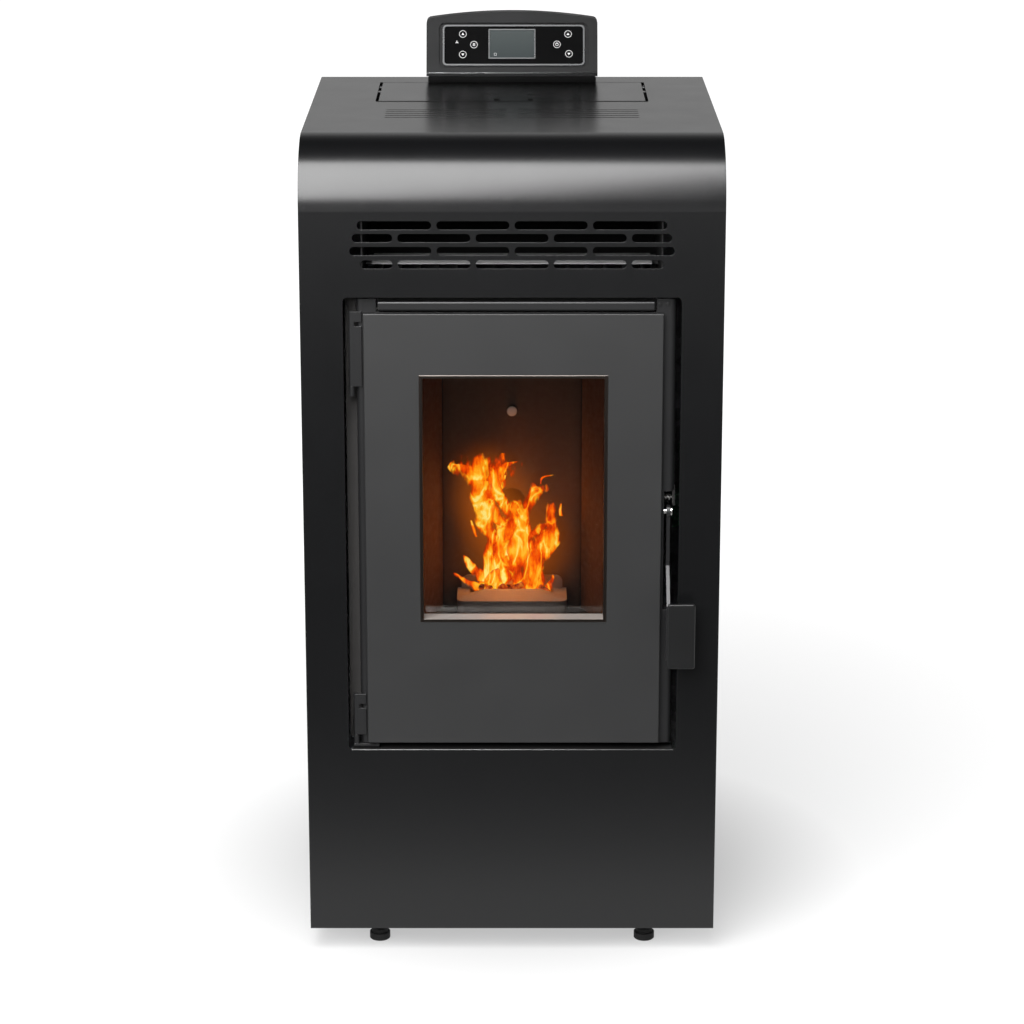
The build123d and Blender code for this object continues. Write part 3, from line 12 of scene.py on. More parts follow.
import bmesh
import bpy
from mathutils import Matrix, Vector


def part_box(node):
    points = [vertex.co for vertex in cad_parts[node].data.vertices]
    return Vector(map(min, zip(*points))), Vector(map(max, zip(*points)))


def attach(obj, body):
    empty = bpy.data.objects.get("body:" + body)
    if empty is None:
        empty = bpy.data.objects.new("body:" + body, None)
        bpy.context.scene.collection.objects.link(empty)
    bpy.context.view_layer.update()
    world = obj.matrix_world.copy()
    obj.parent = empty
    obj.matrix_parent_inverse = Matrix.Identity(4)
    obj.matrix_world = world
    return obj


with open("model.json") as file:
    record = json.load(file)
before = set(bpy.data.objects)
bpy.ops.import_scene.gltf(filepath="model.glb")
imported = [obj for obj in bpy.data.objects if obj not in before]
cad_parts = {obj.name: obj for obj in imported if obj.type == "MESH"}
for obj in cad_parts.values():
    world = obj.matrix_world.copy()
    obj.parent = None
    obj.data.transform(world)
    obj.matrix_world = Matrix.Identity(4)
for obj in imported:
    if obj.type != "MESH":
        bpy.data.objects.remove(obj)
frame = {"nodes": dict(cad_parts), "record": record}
nodes = frame["nodes"]
slot_of = {part["node"]: part["material_slot"] for part in frame["record"]["subparts"]}
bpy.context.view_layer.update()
front_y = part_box("front_cover")[0].y
print(len(nodes), "working parts; the cabinet's front is at y =", round(front_y, 4))

# %% [markdown]
# ## The camera
# The photo looks down on the stove from straight ahead.  Its upright edges stay upright, which a real camera does with
# a shifted lens.  A shift that large would push the stove out of the picture when it is looked at from other sides, so
# this camera tilts down instead, and stands further back with a longer lens to keep the edges almost upright.

# %% Camera
CAMERA_DISTANCE = 3.40      # metres in front of the cabinet
CAMERA_HEIGHT = 1.485
CAMERA_TILT = 16.0          # degrees below level
CAMERA_LENS = 115.4         # millimetres, as is the sensor's width
SENSOR_WIDTH = 36.0
FARTHEST_VIEW = 100.0       # metres, to take in the whole floor

camera_data = bpy.data.cameras.new("camera")
camera_data.lens = CAMERA_LENS
camera_data.sensor_width = SENSOR_WIDTH
camera_data.clip_end = FARTHEST_VIEW
camera = bpy.data.objects.new("camera", camera_data)
camera.location = (0.0, front_y - CAMERA_DISTANCE, CAMERA_HEIGHT)
camera.rotation_euler = (math.radians(90.0 - CAMERA_TILT), 0.0, 0.0)
bpy.context.scene.collection.objects.link(camera)
bpy.context.scene.camera = camera
print("camera", tuple(round(v, 3) for v in camera.location))

# %% [markdown]
# ## Helpers for materials
# Every finish below is a Principled BSDF with a few texture nodes in front of it.  `shader` makes the material, `link`
# adds one node, and `feed` fills sockets with values or with other nodes' outputs, so that each finish reads like a
# recipe.

# %% Node helpers
def feed(node, **plugs):
    """Fill a node's sockets: a plug is a plain value or the output socket that feeds it; _0 is the first socket."""
    for name, value in plugs.items():
        socket = node.inputs[int(name[1:])] if name[1:].isdigit() else node.inputs[name.replace("_", " ")]
        if isinstance(value, bpy.types.NodeSocket):
            node.id_data.links.new(value, socket)
        else:
            socket.default_value = value
    return node


def shader(name, **plugs):
    """A new material, its node tree, and its Principled BSDF with these values."""
    material = bpy.data.materials.new(name)
    material.use_nodes = True
    return material, material.node_tree, feed(material.node_tree.nodes["Principled BSDF"], **plugs)


def link(tree, kind, settings=None, **plugs):
    """Add a node with these settings, and feed it."""
    node = tree.nodes.new(kind)
    for key, value in (settings or {}).items():
        setattr(node, key, value)
    return feed(node, **plugs)


print("node helpers ready")

# %% [markdown]
# ## Steps that come back
# These are the steps that most finishes need: coordinates to start from, a sum or a change of range on the way, and a
# colour ramp or a mix of two colours at the end.

# %% Common steps
BLACK = (0.0, 0.0, 0.0, 1.0)
WHITE = (1.0, 1.0, 1.0, 1.0)


def ramp(tree, factor, *stops):
    """A colour ramp from (position, colour) stops; a colour may be one grey number."""
    node = link(tree, "ShaderNodeValToRGB", Fac=factor)
    while len(node.color_ramp.elements) < len(stops):
        node.color_ramp.elements.new(0.5)
    for element, (place, colour) in zip(node.color_ramp.elements, stops):
        element.position = place
        element.color = (colour,) * 3 + (1.0,) if isinstance(colour, (int, float)) else (*colour, 1.0)
    return node.outputs["Color"]


def calc(tree, operation, *terms):
    """One sum with one or two terms."""
    return link(tree, "ShaderNodeMath", {"operation": operation},
                **{f"_{i}": term for i, term in enumerate(terms)}).outputs[0]


def remap(tree, value, low, high, to_low=0.0, to_high=1.0, **settings):
    """Stretch the range from low to high onto another range; values beyond it stay at its ends."""
    return link(tree, "ShaderNodeMapRange", settings, _0=value, _1=low, _2=high, _3=to_low, _4=to_high).outputs[0]


def coordinates(tree, kind="Object"):
    """A place on the surface: in metres in the piece's own frame, unless another kind is asked for."""
    return link(tree, "ShaderNodeTexCoord").outputs[kind]


def axes(tree, vector):
    """A vector's X, Y and Z."""
    return link(tree, "ShaderNodeSeparateXYZ", Vector=vector).outputs


def blend(tree, share, first, second):
    """Two colours mixed."""
    return link(tree, "ShaderNodeMix", {"data_type": "RGBA"}, _0=share, _6=first, _7=second).outputs[2]


print("common steps ready")

# %% [markdown]
# ## Uneven surfaces
# No real surface is one flat colour with one gloss.  `noise` gives the unevenness, `bump` makes relief of it, `wear`
# uses both for a painted or moulded skin, and `dust_and_painted_highlight` makes a surface paler where it looks up:
# dust on most parts, a painted highlight on the window's rim.

# %% Surface helpers
EDGE_ROUNDING = 0.0007      # metres: sharp corners are shaded as if they were rounded this much


def noise(tree, scale, detail=2.0, stretch=(1.0, 1.0, 1.0), rough=0.5, **more):
    """A noise pattern in the piece's own coordinates, stretched along an axis where wanted."""
    mapped = link(tree, "ShaderNodeMapping", Vector=coordinates(tree), Scale=stretch).outputs[0]
    return link(tree, "ShaderNodeTexNoise", Vector=mapped, Scale=scale, Detail=detail, Roughness=rough,
                **more).outputs["Fac"]


def bump(tree, principled, height, strength, distance):
    """Raise a surface by a pattern, a fraction of a millimetre, and soften its edges so that they catch the light."""
    rounded = link(tree, "ShaderNodeBevel", {"samples": 4}, Radius=EDGE_ROUNDING).outputs["Normal"]
    raised = link(tree, "ShaderNodeBump", Strength=strength, Distance=distance, Height=height, Normal=rounded)
    feed(principled, Normal=raised.outputs["Normal"])


def wear(name, base, rough, grain, grain_scale, spread=0.12, **more):
    """A painted or moulded skin: a base colour with slow variation, uneven gloss and a fine grain."""
    material, tree, principled = shader(name, **more)
    less, extra = 1 - spread, 1 + spread
    dark, light = [tuple(c * f for c in base) for f in (less, extra)]
    feed(principled, Base_Color=ramp(tree, noise(tree, 6.0, 4.0), (0.3, dark), (0.7, light)),
         Roughness=ramp(tree, noise(tree, 22.0), (0.25, rough * less), (0.75, rough * extra)))
    bump(tree, principled, noise(tree, grain_scale), grain, 0.0004)
    return material


def dust_and_painted_highlight(tree, colour, dust, amount, steep=0.55, flat=0.95):
    """Paler where faces look up, none where steep, full where flat: dust, and a painted highlight on the window's rim.
    """
    normal = link(tree, "ShaderNodeNewGeometry").outputs["Normal"]
    film = ramp(tree, axes(tree, normal)["Z"], (steep, 0.0), (flat, amount))
    return blend(tree, film, colour, (*dust, 1.0)), film


print("surface helpers ready")

# %% [markdown]
# ## Powder coat
# The cabinet is folded sheet steel with a satin black powder coat.  Powder melts into a skin that is never quite flat:
# a fine orange peel, a few tenths of a millimetre high and a millimetre or two across.  That tiny relief breaks up the
# highlight on the bend.  Door panel, door frame and handle plate have the same coat in blacks of their own.

# %% Painted finishes
def powder_coat(name, base, rough, gloss=0.5):
    """Satin powder coat with its orange peel."""
    return wear(name, base, rough, 0.05, 900.0, 0.04, Specular_IOR_Level=gloss)


finish = {
    "black_paint": powder_coat("black_powder_coat", (0.0032, 0.0033, 0.0036), 0.26, 0.46),
    "door_paint": powder_coat("door_powder_coat", (0.005, 0.0051, 0.0054), 0.52, 0.74),
    "frame_paint": powder_coat("frame_powder_coat", (0.010, 0.010, 0.0105), 0.34),
    "handle_paint": powder_coat("handle_powder_coat", (0.0035, 0.0036, 0.0038), 0.42, 0.45),
    "firebox_paint": wear("heat_proof_paint", (0.030, 0.028, 0.027), 0.75, 0.30, 500.0),
    "motor_metal": wear("motor_enamel", (0.07, 0.07, 0.075), 0.45, 0.15, 600.0),
}
print("painted finishes:", sorted(finish))

# %% [markdown]
# ## Zinc, steel and aluminium
# The hidden sheets are galvanised: zinc freezes in flat crystals, the spangle, each with its own brightness.  Voronoi
# cells give exactly that.  Bright steel and aluminium parts are told apart by how they were finished: drawn, turned or
# polished, so each gets fine lines in its own direction.

# %% Metal finishes
def zinc():
    """Galvanised sheet with its spangle."""
    material, tree, principled = shader("galvanised_sheet", Metallic=1.0)
    cells = link(tree, "ShaderNodeTexVoronoi", Vector=coordinates(tree), Scale=95.0)
    tone = link(tree, "ShaderNodeSeparateColor", Color=cells.outputs["Color"]).outputs[0]
    feed(principled, Base_Color=ramp(tree, tone, (0.0, (0.40, 0.41, 0.42)), (1.0, (0.62, 0.63, 0.65))),
         Roughness=ramp(tree, tone, (0.0, 0.34), (1.0, 0.52)))
    return material


def lined_metal(name, colour, rough, stretch, scale=260.0, depth=0.06):
    """Metal with fine lines: the noise is squeezed across the lines and drawn out along them."""
    material, tree, principled = shader(name, Metallic=1.0)
    lines = noise(tree, scale, 3.0, stretch)
    dark = tuple(c * 0.85 for c in colour)
    feed(principled, Base_Color=ramp(tree, lines, (0.3, dark), (0.7, colour)),
         Roughness=ramp(tree, lines, (0.2, rough * 0.7), (0.8, rough * 1.3)))
    bump(tree, principled, lines, depth, 0.0003)
    return material


finish["galvanised"] = zinc()
finish["polished_steel"] = lined_metal("polished_steel", (0.78, 0.77, 0.75), 0.16, (0.15, 1.0, 1.0), 500.0, 0.03)
finish["machined_steel"] = lined_metal("machined_steel", (0.46, 0.45, 0.44), 0.32, (1.0, 0.1, 1.0))
finish["pale_zinc"] = wear("pale_zinc", (0.36, 0.36, 0.36), 0.6, 0.1, 200.0)
# a painted highlight: the strip along the lower edge of the door's opening
finish["edge_highlight_metal"] = lined_metal("edge_highlight_metal", (0.20, 0.20, 0.20), 0.42, (1.0, 0.1, 1.0))
finish["fan_aluminium"] = lined_metal("mill_aluminium", (0.72, 0.73, 0.74), 0.34, (1.0, 0.08, 1.0))
finish["silver_trim"] = lined_metal("satin_silver", (0.62, 0.63, 0.64), 0.30, (0.08, 1.0, 1.0), 90.0, 0.01)
print("metals done,", len(finish), "finishes so far")

# %% [markdown]
# ## Painted highlight and dust
# The window's rim is dark steel, with a highlight painted along its sill where its faces look up.  That paint isn't
# metal, so where it lies the Metallic value falls as its pale colour comes in.  The sheets seen through the grille are
# dull black under grey dust, and that dust only lies where a sheet is all but level.

# %% Painted highlight of the rim, dusty duct
def rim_with_painted_highlight():
    """The window's rim: dark brushed steel, with a pale highlight painted along its sill."""
    material, tree, principled = shader("rim_with_painted_highlight", Roughness=0.28)
    # the pale film on its upward faces is a painted highlight of the light from above
    colour, film = dust_and_painted_highlight(tree, (0.080, 0.066, 0.058, 1.0), (0.30, 0.275, 0.255), 0.7)
    feed(principled, Base_Color=colour, Metallic=calc(tree, "SUBTRACT", 1.0, film))
    bump(tree, principled, noise(tree, 420.0, 3.0, (0.08, 1.0, 1.0)), 0.03, 0.0003)
    return material


def dusty_duct():
    """The sheets seen through the grille: dull black, grey where dust lies on them."""
    material, tree, principled = shader("dusty_duct", Roughness=0.85, Specular_IOR_Level=0.2)
    feed(principled, Base_Color=dust_and_painted_highlight(tree, (0.006, 0.006, 0.006, 1.0), (0.16, 0.16, 0.16), 1.0, 0.97, 0.995)[0])
    return material


finish["window_rim"] = rim_with_painted_highlight()
finish["dusty_duct"] = dusty_duct()
print("dusty finishes done")

# %% [markdown]
# ## What the fire touches
# Steel that has been red hot turns from grey through straw and brown to a dusty red.  The linings darken towards the
# sides, by how far they are from the middle, over a cloudy noise.  The cast pot is rougher, with a sand-cast skin and
# ash on its upper faces.

# %% Linings and pot
def scorched_steel():
    """Fire lining: warm brown steel, darker towards the sides, with faint heat marks."""
    material, tree, principled = shader("scorched_lining", Specular_IOR_Level=0.3)
    blotches = noise(tree, 7.0, 5.0, (1.0, 1.0, 0.5), 0.55)
    steel = ramp(tree, blotches, (0.3, (0.060, 0.033, 0.021)), (0.7, (0.095, 0.052, 0.033)))
    sideways = calc(tree, "ABSOLUTE", axes(tree, coordinates(tree))["X"])
    # the lining grows darker from 66 to 88 mm off the middle
    darker_sides = remap(tree, sideways, 0.066, 0.088, 0.0, 0.45)
    fine = noise(tree, 160.0, 6.0)
    feed(principled, Base_Color=blend(tree, darker_sides, steel, (0.010, 0.006, 0.004, 1.0)),
         Roughness=ramp(tree, fine, (0.3, 0.62), (0.7, 0.9)))
    bump(tree, principled, fine, 0.08, 0.0003)
    return material


def sand_cast_iron():
    """The burn pot: a grainy cast skin, sooty below and with a film of ash on top."""
    material, tree, principled = shader("sand_cast_iron", Specular_IOR_Level=0.35)
    grain = noise(tree, 420.0, 6.0)
    iron = ramp(tree, noise(tree, 30.0, 5.0), (0.3, (0.13, 0.112, 0.105)), (0.7, (0.21, 0.18, 0.168)))
    feed(principled, Base_Color=dust_and_painted_highlight(tree, iron, (0.27, 0.245, 0.23), 0.4)[0],
         Roughness=ramp(tree, grain, (0.3, 0.6), (0.7, 0.95)))
    bump(tree, principled, grain, 0.25, 0.0004)
    return material


finish["hot_steel"] = scorched_steel()
finish["cast_iron"] = sand_cast_iron()
print("linings and pot done")

# %% [markdown]
# ## Board and rope
# The baffle over the fire is vermiculite: flakes of mica pressed into a tan board, which are Voronoi cells again.  The
# door closes on a rope braided from glass fibre.  Two waves that slant opposite ways read as its crossing strands.

# %% Board and rope
def speckled_board():
    """Vermiculite: flakes of mica pressed into a tan board."""
    material, tree, principled = shader("vermiculite_board", Roughness=0.9)
    flakes = link(tree, "ShaderNodeTexVoronoi", Vector=coordinates(tree), Scale=340.0)
    tone = link(tree, "ShaderNodeSeparateColor", Color=flakes.outputs["Color"]).outputs[0]
    feed(principled, Base_Color=ramp(tree, tone, (0.0, (0.20, 0.15, 0.10)), (0.5, (0.42, 0.33, 0.23)),
                                     (1.0, (0.62, 0.52, 0.38))))
    bump(tree, principled, flakes.outputs["Distance"], 0.4, 0.0008)
    return material


def braided_rope():
    """Glass-fibre sealing rope: crossing strands, made of two slanted waves."""
    material, tree, principled = shader("sealing_rope", Roughness=0.95, Sheen_Weight=0.3)
    strands = []
    for turn in (0.8, -0.8):
        slanted = link(tree, "ShaderNodeMapping", Vector=coordinates(tree), Rotation=(0.0, turn, 0.0)).outputs[0]
        strands.append(link(tree, "ShaderNodeTexWave", Vector=slanted, Scale=160.0).outputs["Fac"])
    weave = calc(tree, "MAXIMUM", *strands)
    feed(principled, Base_Color=ramp(tree, weave, (0.2, (0.07, 0.07, 0.068)), (0.9, (0.24, 0.235, 0.22))))
    bump(tree, principled, weave, 0.6, 0.0008)
    return material


finish["vermiculite"] = speckled_board()
finish["sealing_rope"] = braided_rope()
print("fire side done,", len(finish), "finishes so far")

# %% [markdown]
# ## Glass and circuit boards
# The window is clear ceramic glass with a faint warm tint.  The unlit display is a dark grey-green pane with a
# highlight painted towards its top.  A circuit board is green lacquer, and the edges of Voronoi cells pass for its
# tracks.

# %% Glass, display and circuit boards
def window_pane():
    """Clear ceramic glass."""
    return shader("ceramic_glass", Roughness=0.02, IOR=1.45, Transmission_Weight=1.0,
                  Base_Color=(0.97, 0.95, 0.92, 1.0))[0]


def display_pane():
    """The unlit display: dark glass over a grey-green layer, with a highlight painted on towards the top."""
    material, tree, principled = shader("display_pane", Roughness=0.45, Specular_IOR_Level=0.15)
    low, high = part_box("screen_glass")
    # painted highlight: the pane is lighter towards its top
    up = remap(tree, axes(tree, coordinates(tree))["Z"], low.z, high.z)
    feed(principled, Base_Color=ramp(tree, up, (0.0, (0.055, 0.070, 0.072)), (1.0, (0.085, 0.100, 0.100))))
    return material


def green_board():
    """A printed circuit board: green lacquer with paler tracks."""
    material, tree, principled = shader("circuit_lacquer", Roughness=0.35)
    tracks = link(tree, "ShaderNodeTexVoronoi", {"feature": "DISTANCE_TO_EDGE"}, Vector=coordinates(tree),
                  Scale=220.0).outputs["Distance"]
    feed(principled, Base_Color=ramp(tree, tracks, (0.04, (0.05, 0.22, 0.10)), (0.09, (0.012, 0.075, 0.035))))
    return material


finish["window_glass"] = window_pane()
finish["screen"] = display_pane()
finish["circuit"] = green_board()
print("glass and boards done")

# %% [markdown]
# ## Plastics and rubber
# The console is a grained moulding round a key panel that is almost black and has an anti-glare face.  Sockets and
# feet are plainer, so `wear` alone is enough for all four.

# %% Plastics and rubber
finish["console_plastic"] = wear("grained_console", (0.024, 0.0245, 0.0255), 0.48, 0.22, 700.0)
finish["key_panel_gloss"] = wear("satin_key_panel", (0.004, 0.004, 0.0045), 0.55, 0.02, 300.0,
                                 Specular_IOR_Level=0.12)
finish["inlet_plastic"] = wear("inlet_plastic", (0.015, 0.015, 0.016), 0.5, 0.2, 800.0)
finish["foot_rubber"] = wear("foot_rubber", (0.006, 0.006, 0.006), 0.7, 0.2, 300.0, Specular_IOR_Level=0.3)
print("all finishes made:", len(finish))

# %% [markdown]
# ## Dressing the working parts
# The record says which material slot each part has, and the finishes are named after those slots.  A few parts wear a
# finish of their own: dusty sheets behind the grille, the ashen rim, and the duller coat of the handle plate.

# %% Give every part its finish
OWN_FINISH = {"heat_exchanger": "dusty_duct", "warm_air_duct": "dusty_duct",
              "window_trim": "window_rim", "handle_plate": "handle_paint"}

for node, piece in nodes.items():
    material = finish[OWN_FINISH.get(node, slot_of[node])]
    if piece.material_slots:
        for holder in piece.material_slots:
            holder.material = material
    else:
        piece.data.materials.append(material)
print("every one of", len(nodes), "parts has its finish")

# %% [markdown]
# ## Helpers for new pieces
# Every new piece goes through the same steps.  `fresh` adds a primitive with nothing else selected, `settle` puts it in
# its place and writes that into the mesh, so that its origin stays at the scene's, and `apply_modifier` shapes it.

# %% Making a piece
MM = 0.001


def fresh(operator, name, **settings):
    """Deselect everything, add one primitive with a bpy.ops operator, and name it."""
    if bpy.context.object and bpy.context.object.mode != "OBJECT":
        bpy.ops.object.mode_set(mode="OBJECT")
    bpy.ops.object.select_all(action="DESELECT")
    operator(**settings)
    piece = bpy.context.object
    piece.name = piece.data.name = name
    return piece


def only(piece):
    """Make one piece the whole selection."""
    bpy.ops.object.select_all(action="DESELECT")
    piece.select_set(True)
    bpy.context.view_layer.objects.active = piece


def settle(piece, place=(0.0, 0.0, 0.0), turn=None):
    """Put a piece at its place, turned, and write both into its mesh."""
    piece.location = place
    if turn is not None:
        piece.rotation_euler = turn
    only(piece)
    bpy.ops.object.transform_apply(location=True, rotation=True, scale=True)
    return piece


def apply_modifier(piece, kind, **settings):
    """Add a modifier and apply it at once."""
    only(piece)
    modifier = piece.modifiers.new(kind.lower(), kind)
    for key, value in settings.items():
        setattr(modifier, key, value)
    bpy.ops.object.modifier_apply(modifier=modifier.name)


print("pieces can be made")

# %% [markdown]
# ## Finishing a piece
# Parts that look like one are joined to one mesh.  Then `dress` gives the piece its material, smooth shading and the
# body that it rides on.

# %% Finishing a piece
def joined(pieces, name):
    """Several pieces made one."""
    bpy.ops.object.select_all(action="DESELECT")
    for piece in pieces:
        piece.select_set(True)
    bpy.context.view_layer.objects.active = pieces[0]
    bpy.ops.object.join()
    whole = bpy.context.object
    whole.name = whole.data.name = name
    return whole


def dress(piece, material, body, smooth=30.0):
    """Give a finished piece its material, its shading and the body that it rides on."""
    piece.data.materials.clear()
    piece.data.materials.append(material)
    only(piece)
    bpy.ops.object.shade_smooth_by_angle(angle=math.radians(smooth))
    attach(piece, body)
    return piece


print("pieces can be finished")

# %% [markdown]
# ## Marks on the console
# Each key has a thin ring and a plain white sign on its cap, which glow faintly by themselves: painted light that
# keeps them white.  They are modelled a fraction of a millimetre thick.  A mark is built lying on the floor, and then
# `stand_up` tips it to the console's slope and lays it on its face.

# %% Building flat marks
CONSOLE_TILT = math.radians(69)                     # from lying flat to facing the user
OUTWARD = Vector((0.0, -math.sin(CONSOLE_TILT), math.cos(CONSOLE_TILT)))
MARK_DEPTH = 0.2 * MM
# painted light: the marks glow faintly by themselves
print_with_painted_glow = shader("print_with_painted_glow", Roughness=0.6, Base_Color=(0.75, 0.75, 0.75, 1.0), Emission_Color=WHITE,
                   Emission_Strength=0.5)[0]


def face_centre(node):
    """The middle of the face that a part of the console turns to the user."""
    points = [vertex.co for vertex in nodes[node].data.vertices]
    front = max(point.dot(OUTWARD) for point in points)
    face = [point for point in points if point.dot(OUTWARD) > front - 0.05 * MM]
    return sum(face, Vector()) / len(face)


def sign(name, operator, stretch, offset=(0.0, 0.0), spin=0.0, **settings):
    """A flat mark: a low primitive, scaled and rounded, still lying on the floor; its offset is in millimetres."""
    piece = fresh(operator, name, **settings)
    piece.scale = (*stretch, 1.0)
    settle(piece, (offset[0] * MM, offset[1] * MM, 0.0), (0.0, 0.0, spin))
    apply_modifier(piece, "BEVEL", width=0.06 * MM, segments=2)
    return piece


def disc(name, sides, radius, stretch, offset, spin):
    """A mark from a low cylinder, its radius in millimetres: three sides make a triangle."""
    return sign(name, bpy.ops.mesh.primitive_cylinder_add, stretch, offset, spin, vertices=sides,
                radius=radius * MM, depth=MARK_DEPTH)


def bar(name, length, thick, offset=(0.0, 0.0)):
    """A short stroke: a cube as high as a mark is deep, and so many times as long and as wide."""
    return sign(name, bpy.ops.mesh.primitive_cube_add, (length, thick), offset, size=MARK_DEPTH)


def flat_ring(name, radius, thick):
    """A printed ring: a thin torus, pressed flatter in edit mode."""
    ring = fresh(bpy.ops.mesh.primitive_torus_add, name, major_radius=radius * MM, minor_radius=thick * MM,
                 major_segments=48, minor_segments=8)
    bpy.ops.object.mode_set(mode="EDIT")
    bpy.ops.mesh.select_all(action="SELECT")
    bpy.ops.transform.resize(value=(1.0, 1.0, 0.6), center_override=(0.0, 0.0, 0.0))
    bpy.ops.object.mode_set(mode="OBJECT")
    return ring


def stand_up(piece, centre, body):
    """Tip a mark up to the console's slope, put it on its face, and dress it."""
    settle(piece, centre + OUTWARD * 0.08 * MM, (CONSOLE_TILT, 0.0, 0.0))
    return dress(piece, print_with_painted_glow, body)


print("marks stand out along", tuple(round(v, 3) for v in OUTWARD))

# %% [markdown]
# ## Rings and signs of the keys
# Triangles for up and down, three strokes for the settings, and a ring with a stroke for power.  A mark rides on its
# key, so that it goes in with the key when that is pressed.

# %% Keys' rings and signs
def arrow(name, up):
    """A triangle that points up or down the slope."""
    return disc(name, 3, 2.0, (1.0, 0.9), (0.0, -0.2 if up else 0.2), math.radians(0 if up else 180))


def power_sign(name):
    """A ring with a stroke at its top."""
    return joined([flat_ring(name + "_ring", 1.6, 0.28), bar(name + "_stroke", 3.0, 9.0, (0.0, 1.5))], name)


def set_sign(name):
    """Three strokes, one above the other."""
    return joined([bar(f"{name}_{i}", 14.0, 3.0, (0.0, 1.2 * (i - 1))) for i in range(3)], name)


signs = {"key_up_left": arrow("sign_up_left", True), "key_set_left": set_sign("sign_set_left"),
         "key_down_left": arrow("sign_down_left", False), "key_up_right": arrow("sign_up_right", True),
         "key_power_right": power_sign("sign_power_right"), "key_down_right": arrow("sign_down_right", False)}
for key, piece in signs.items():
    stand_up(piece, face_centre(key), key)
    stand_up(flat_ring("ring_" + key, 4.0, 0.26), face_centre(key), key)
print("keys marked:", len(signs))

# %% [markdown]
# ## Fan and square
# Two more signs aren't on keys: a small fan with three blades beside the left keys, and an open square in the lower
# corner of the display.  They stay where they are when a key goes in, so they ride on the cabinet.

# %% Fan and square signs
UP_SLOPE = Vector((0.0, math.cos(CONSOLE_TILT), math.sin(CONSOLE_TILT)))
BLADE_OUT = 1.05            # millimetres from the fan's hub to the middle of a blade
SIDE_OUT = 1.3              # and from the square's middle to a side
LONG, THIN = 14.0, 1.4      # a side of the square, in depths of a mark


def on_slope(node, sideways, upwards):
    """The place so many millimetres from the middle of a console part's face."""
    return face_centre(node) + Vector((sideways * MM, 0, 0)) + UP_SLOPE * upwards * MM


blades = []
for i in range(3):
    turn = math.radians(90 + 120 * i)
    blades.append(disc(f"blade_{i}", 16, 0.85, (1.0, 0.6),
                       (BLADE_OUT * math.cos(turn), BLADE_OUT * math.sin(turn)), turn))
stand_up(joined(blades, "sign_fan"), on_slope("key_panel", -67.7, 2.6), "root")

sides = [bar("side_0", LONG, THIN, (0.0, SIDE_OUT)), bar("side_1", LONG, THIN, (0.0, -SIDE_OUT)),
         bar("side_2", THIN, LONG, (SIDE_OUT, 0.0)), bar("side_3", THIN, LONG, (-SIDE_OUT, 0.0))]
stand_up(joined(sides, "sign_square"), on_slope("screen_glass", -19.5, -12.3), "root")
print("fan and square on")

# %% [markdown]
# ## Highlight and gasket of the console
# A bright metal strip across the foot of the console is a painted highlight, where the console's lower edge catches
# the light, and a rubber gasket under it closes the gap to the top plate.
# Both are cubes scaled to a long bar.  A bevel of nearly a third of the thickness rounds a bar's edges, as those of
# extruded trim are.

# %% Edge highlight and gasket
PROUD = 0.2 * MM            # how far the middle of a trim strip stands out from the sheet that it lies on


def strip(name, centre, millimetres, material, body="root"):
    """A bar with rounded edges, fixed to the cabinet or to another body."""
    size = [side * MM for side in millimetres]
    piece = fresh(bpy.ops.mesh.primitive_cube_add, name, size=1.0)
    piece.scale = size
    settle(piece, centre)
    apply_modifier(piece, "BEVEL", width=min(size) * 0.3, segments=3)
    return dress(piece, material, body)


console_low, console_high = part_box("console_housing")
HIGHLIGHT_Z = console_low.z + 11 * MM
GASKET_Z = console_low.z + 3.4 * MM
# painted highlight: a bright strip along the console's lower edge
strip("console_edge_highlight", (0.0, console_low.y - PROUD, HIGHLIGHT_Z), (199, 1.0, 1.2), finish["silver_trim"])
strip("console_gasket", (0.0, console_low.y + 1.6 * MM, GASKET_Z), (196, 3.0, 6.6), finish["foot_rubber"])
print("lip at z =", round(HIGHLIGHT_Z, 4), "and gasket at", round(GASKET_Z, 4))

# %% [markdown]
# ## Highlight on the edge of the door's opening
# A thin steel strip along the lower edge of the opening is a painted highlight: the fine bright line where that edge
# catches the light from above.

# %% Edge highlight
OPENING_X = 0.5 * MM        # the opening is this far off the cabinet's middle
EDGE_Z = 238 * MM
# painted highlight: a bright steel strip along the opening's lower edge
strip("opening_edge_highlight", (OPENING_X, front_y - PROUD, EDGE_Z), (354, 0.8, 0.8), finish["edge_highlight_metal"])
print("edge of the opening at z =", round(EDGE_Z, 4))

# %% [markdown]
# ## Seal and stops of the lid
# A rubber seal fills the joint in front of the hopper's lid.  It belongs to the top plate.  The two small stops that
# the lid comes to rest on when it is opened are stuck to the lid, so they ride on it.

# %% Lid's seal and stops
lid_low, lid_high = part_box("hopper_lid")
SEAL_PLACE = (0.0, lid_low.y - 1.7 * MM, lid_high.z + 0.1 * MM)
strip("lid_front_seal", SEAL_PLACE, (306, 1.6, 0.6), finish["foot_rubber"])
for side, x in (("left", -17), ("right", 21)):
    stop_place = (x * MM, lid_low.y + 11 * MM, lid_high.z + 0.7 * MM)
    strip("lid_stop_" + side, stop_place, (6, 4, 1.8), finish["foot_rubber"], "lid")
print("seal and stops on, lid's top at z =", round(lid_high.z, 4))

# %% [markdown]
# ## Painted shade in the door's opening
# A black strip lies behind the opening's lower edge: painted shade, so that the gap below the door shows dark and not
# the lit metal inside.

# %% Painted shade below the door
SHADE_STRIP_PLACE = (OPENING_X, front_y + 13 * MM, EDGE_Z - 0.8 * MM)
# painted shade: a black strip that keeps the gap below the door dark
strip("opening_painted_shade", SHADE_STRIP_PLACE, (352, 22, 1.4), finish["foot_rubber"])
print("sill at", tuple(round(v, 4) for v in SHADE_STRIP_PLACE))

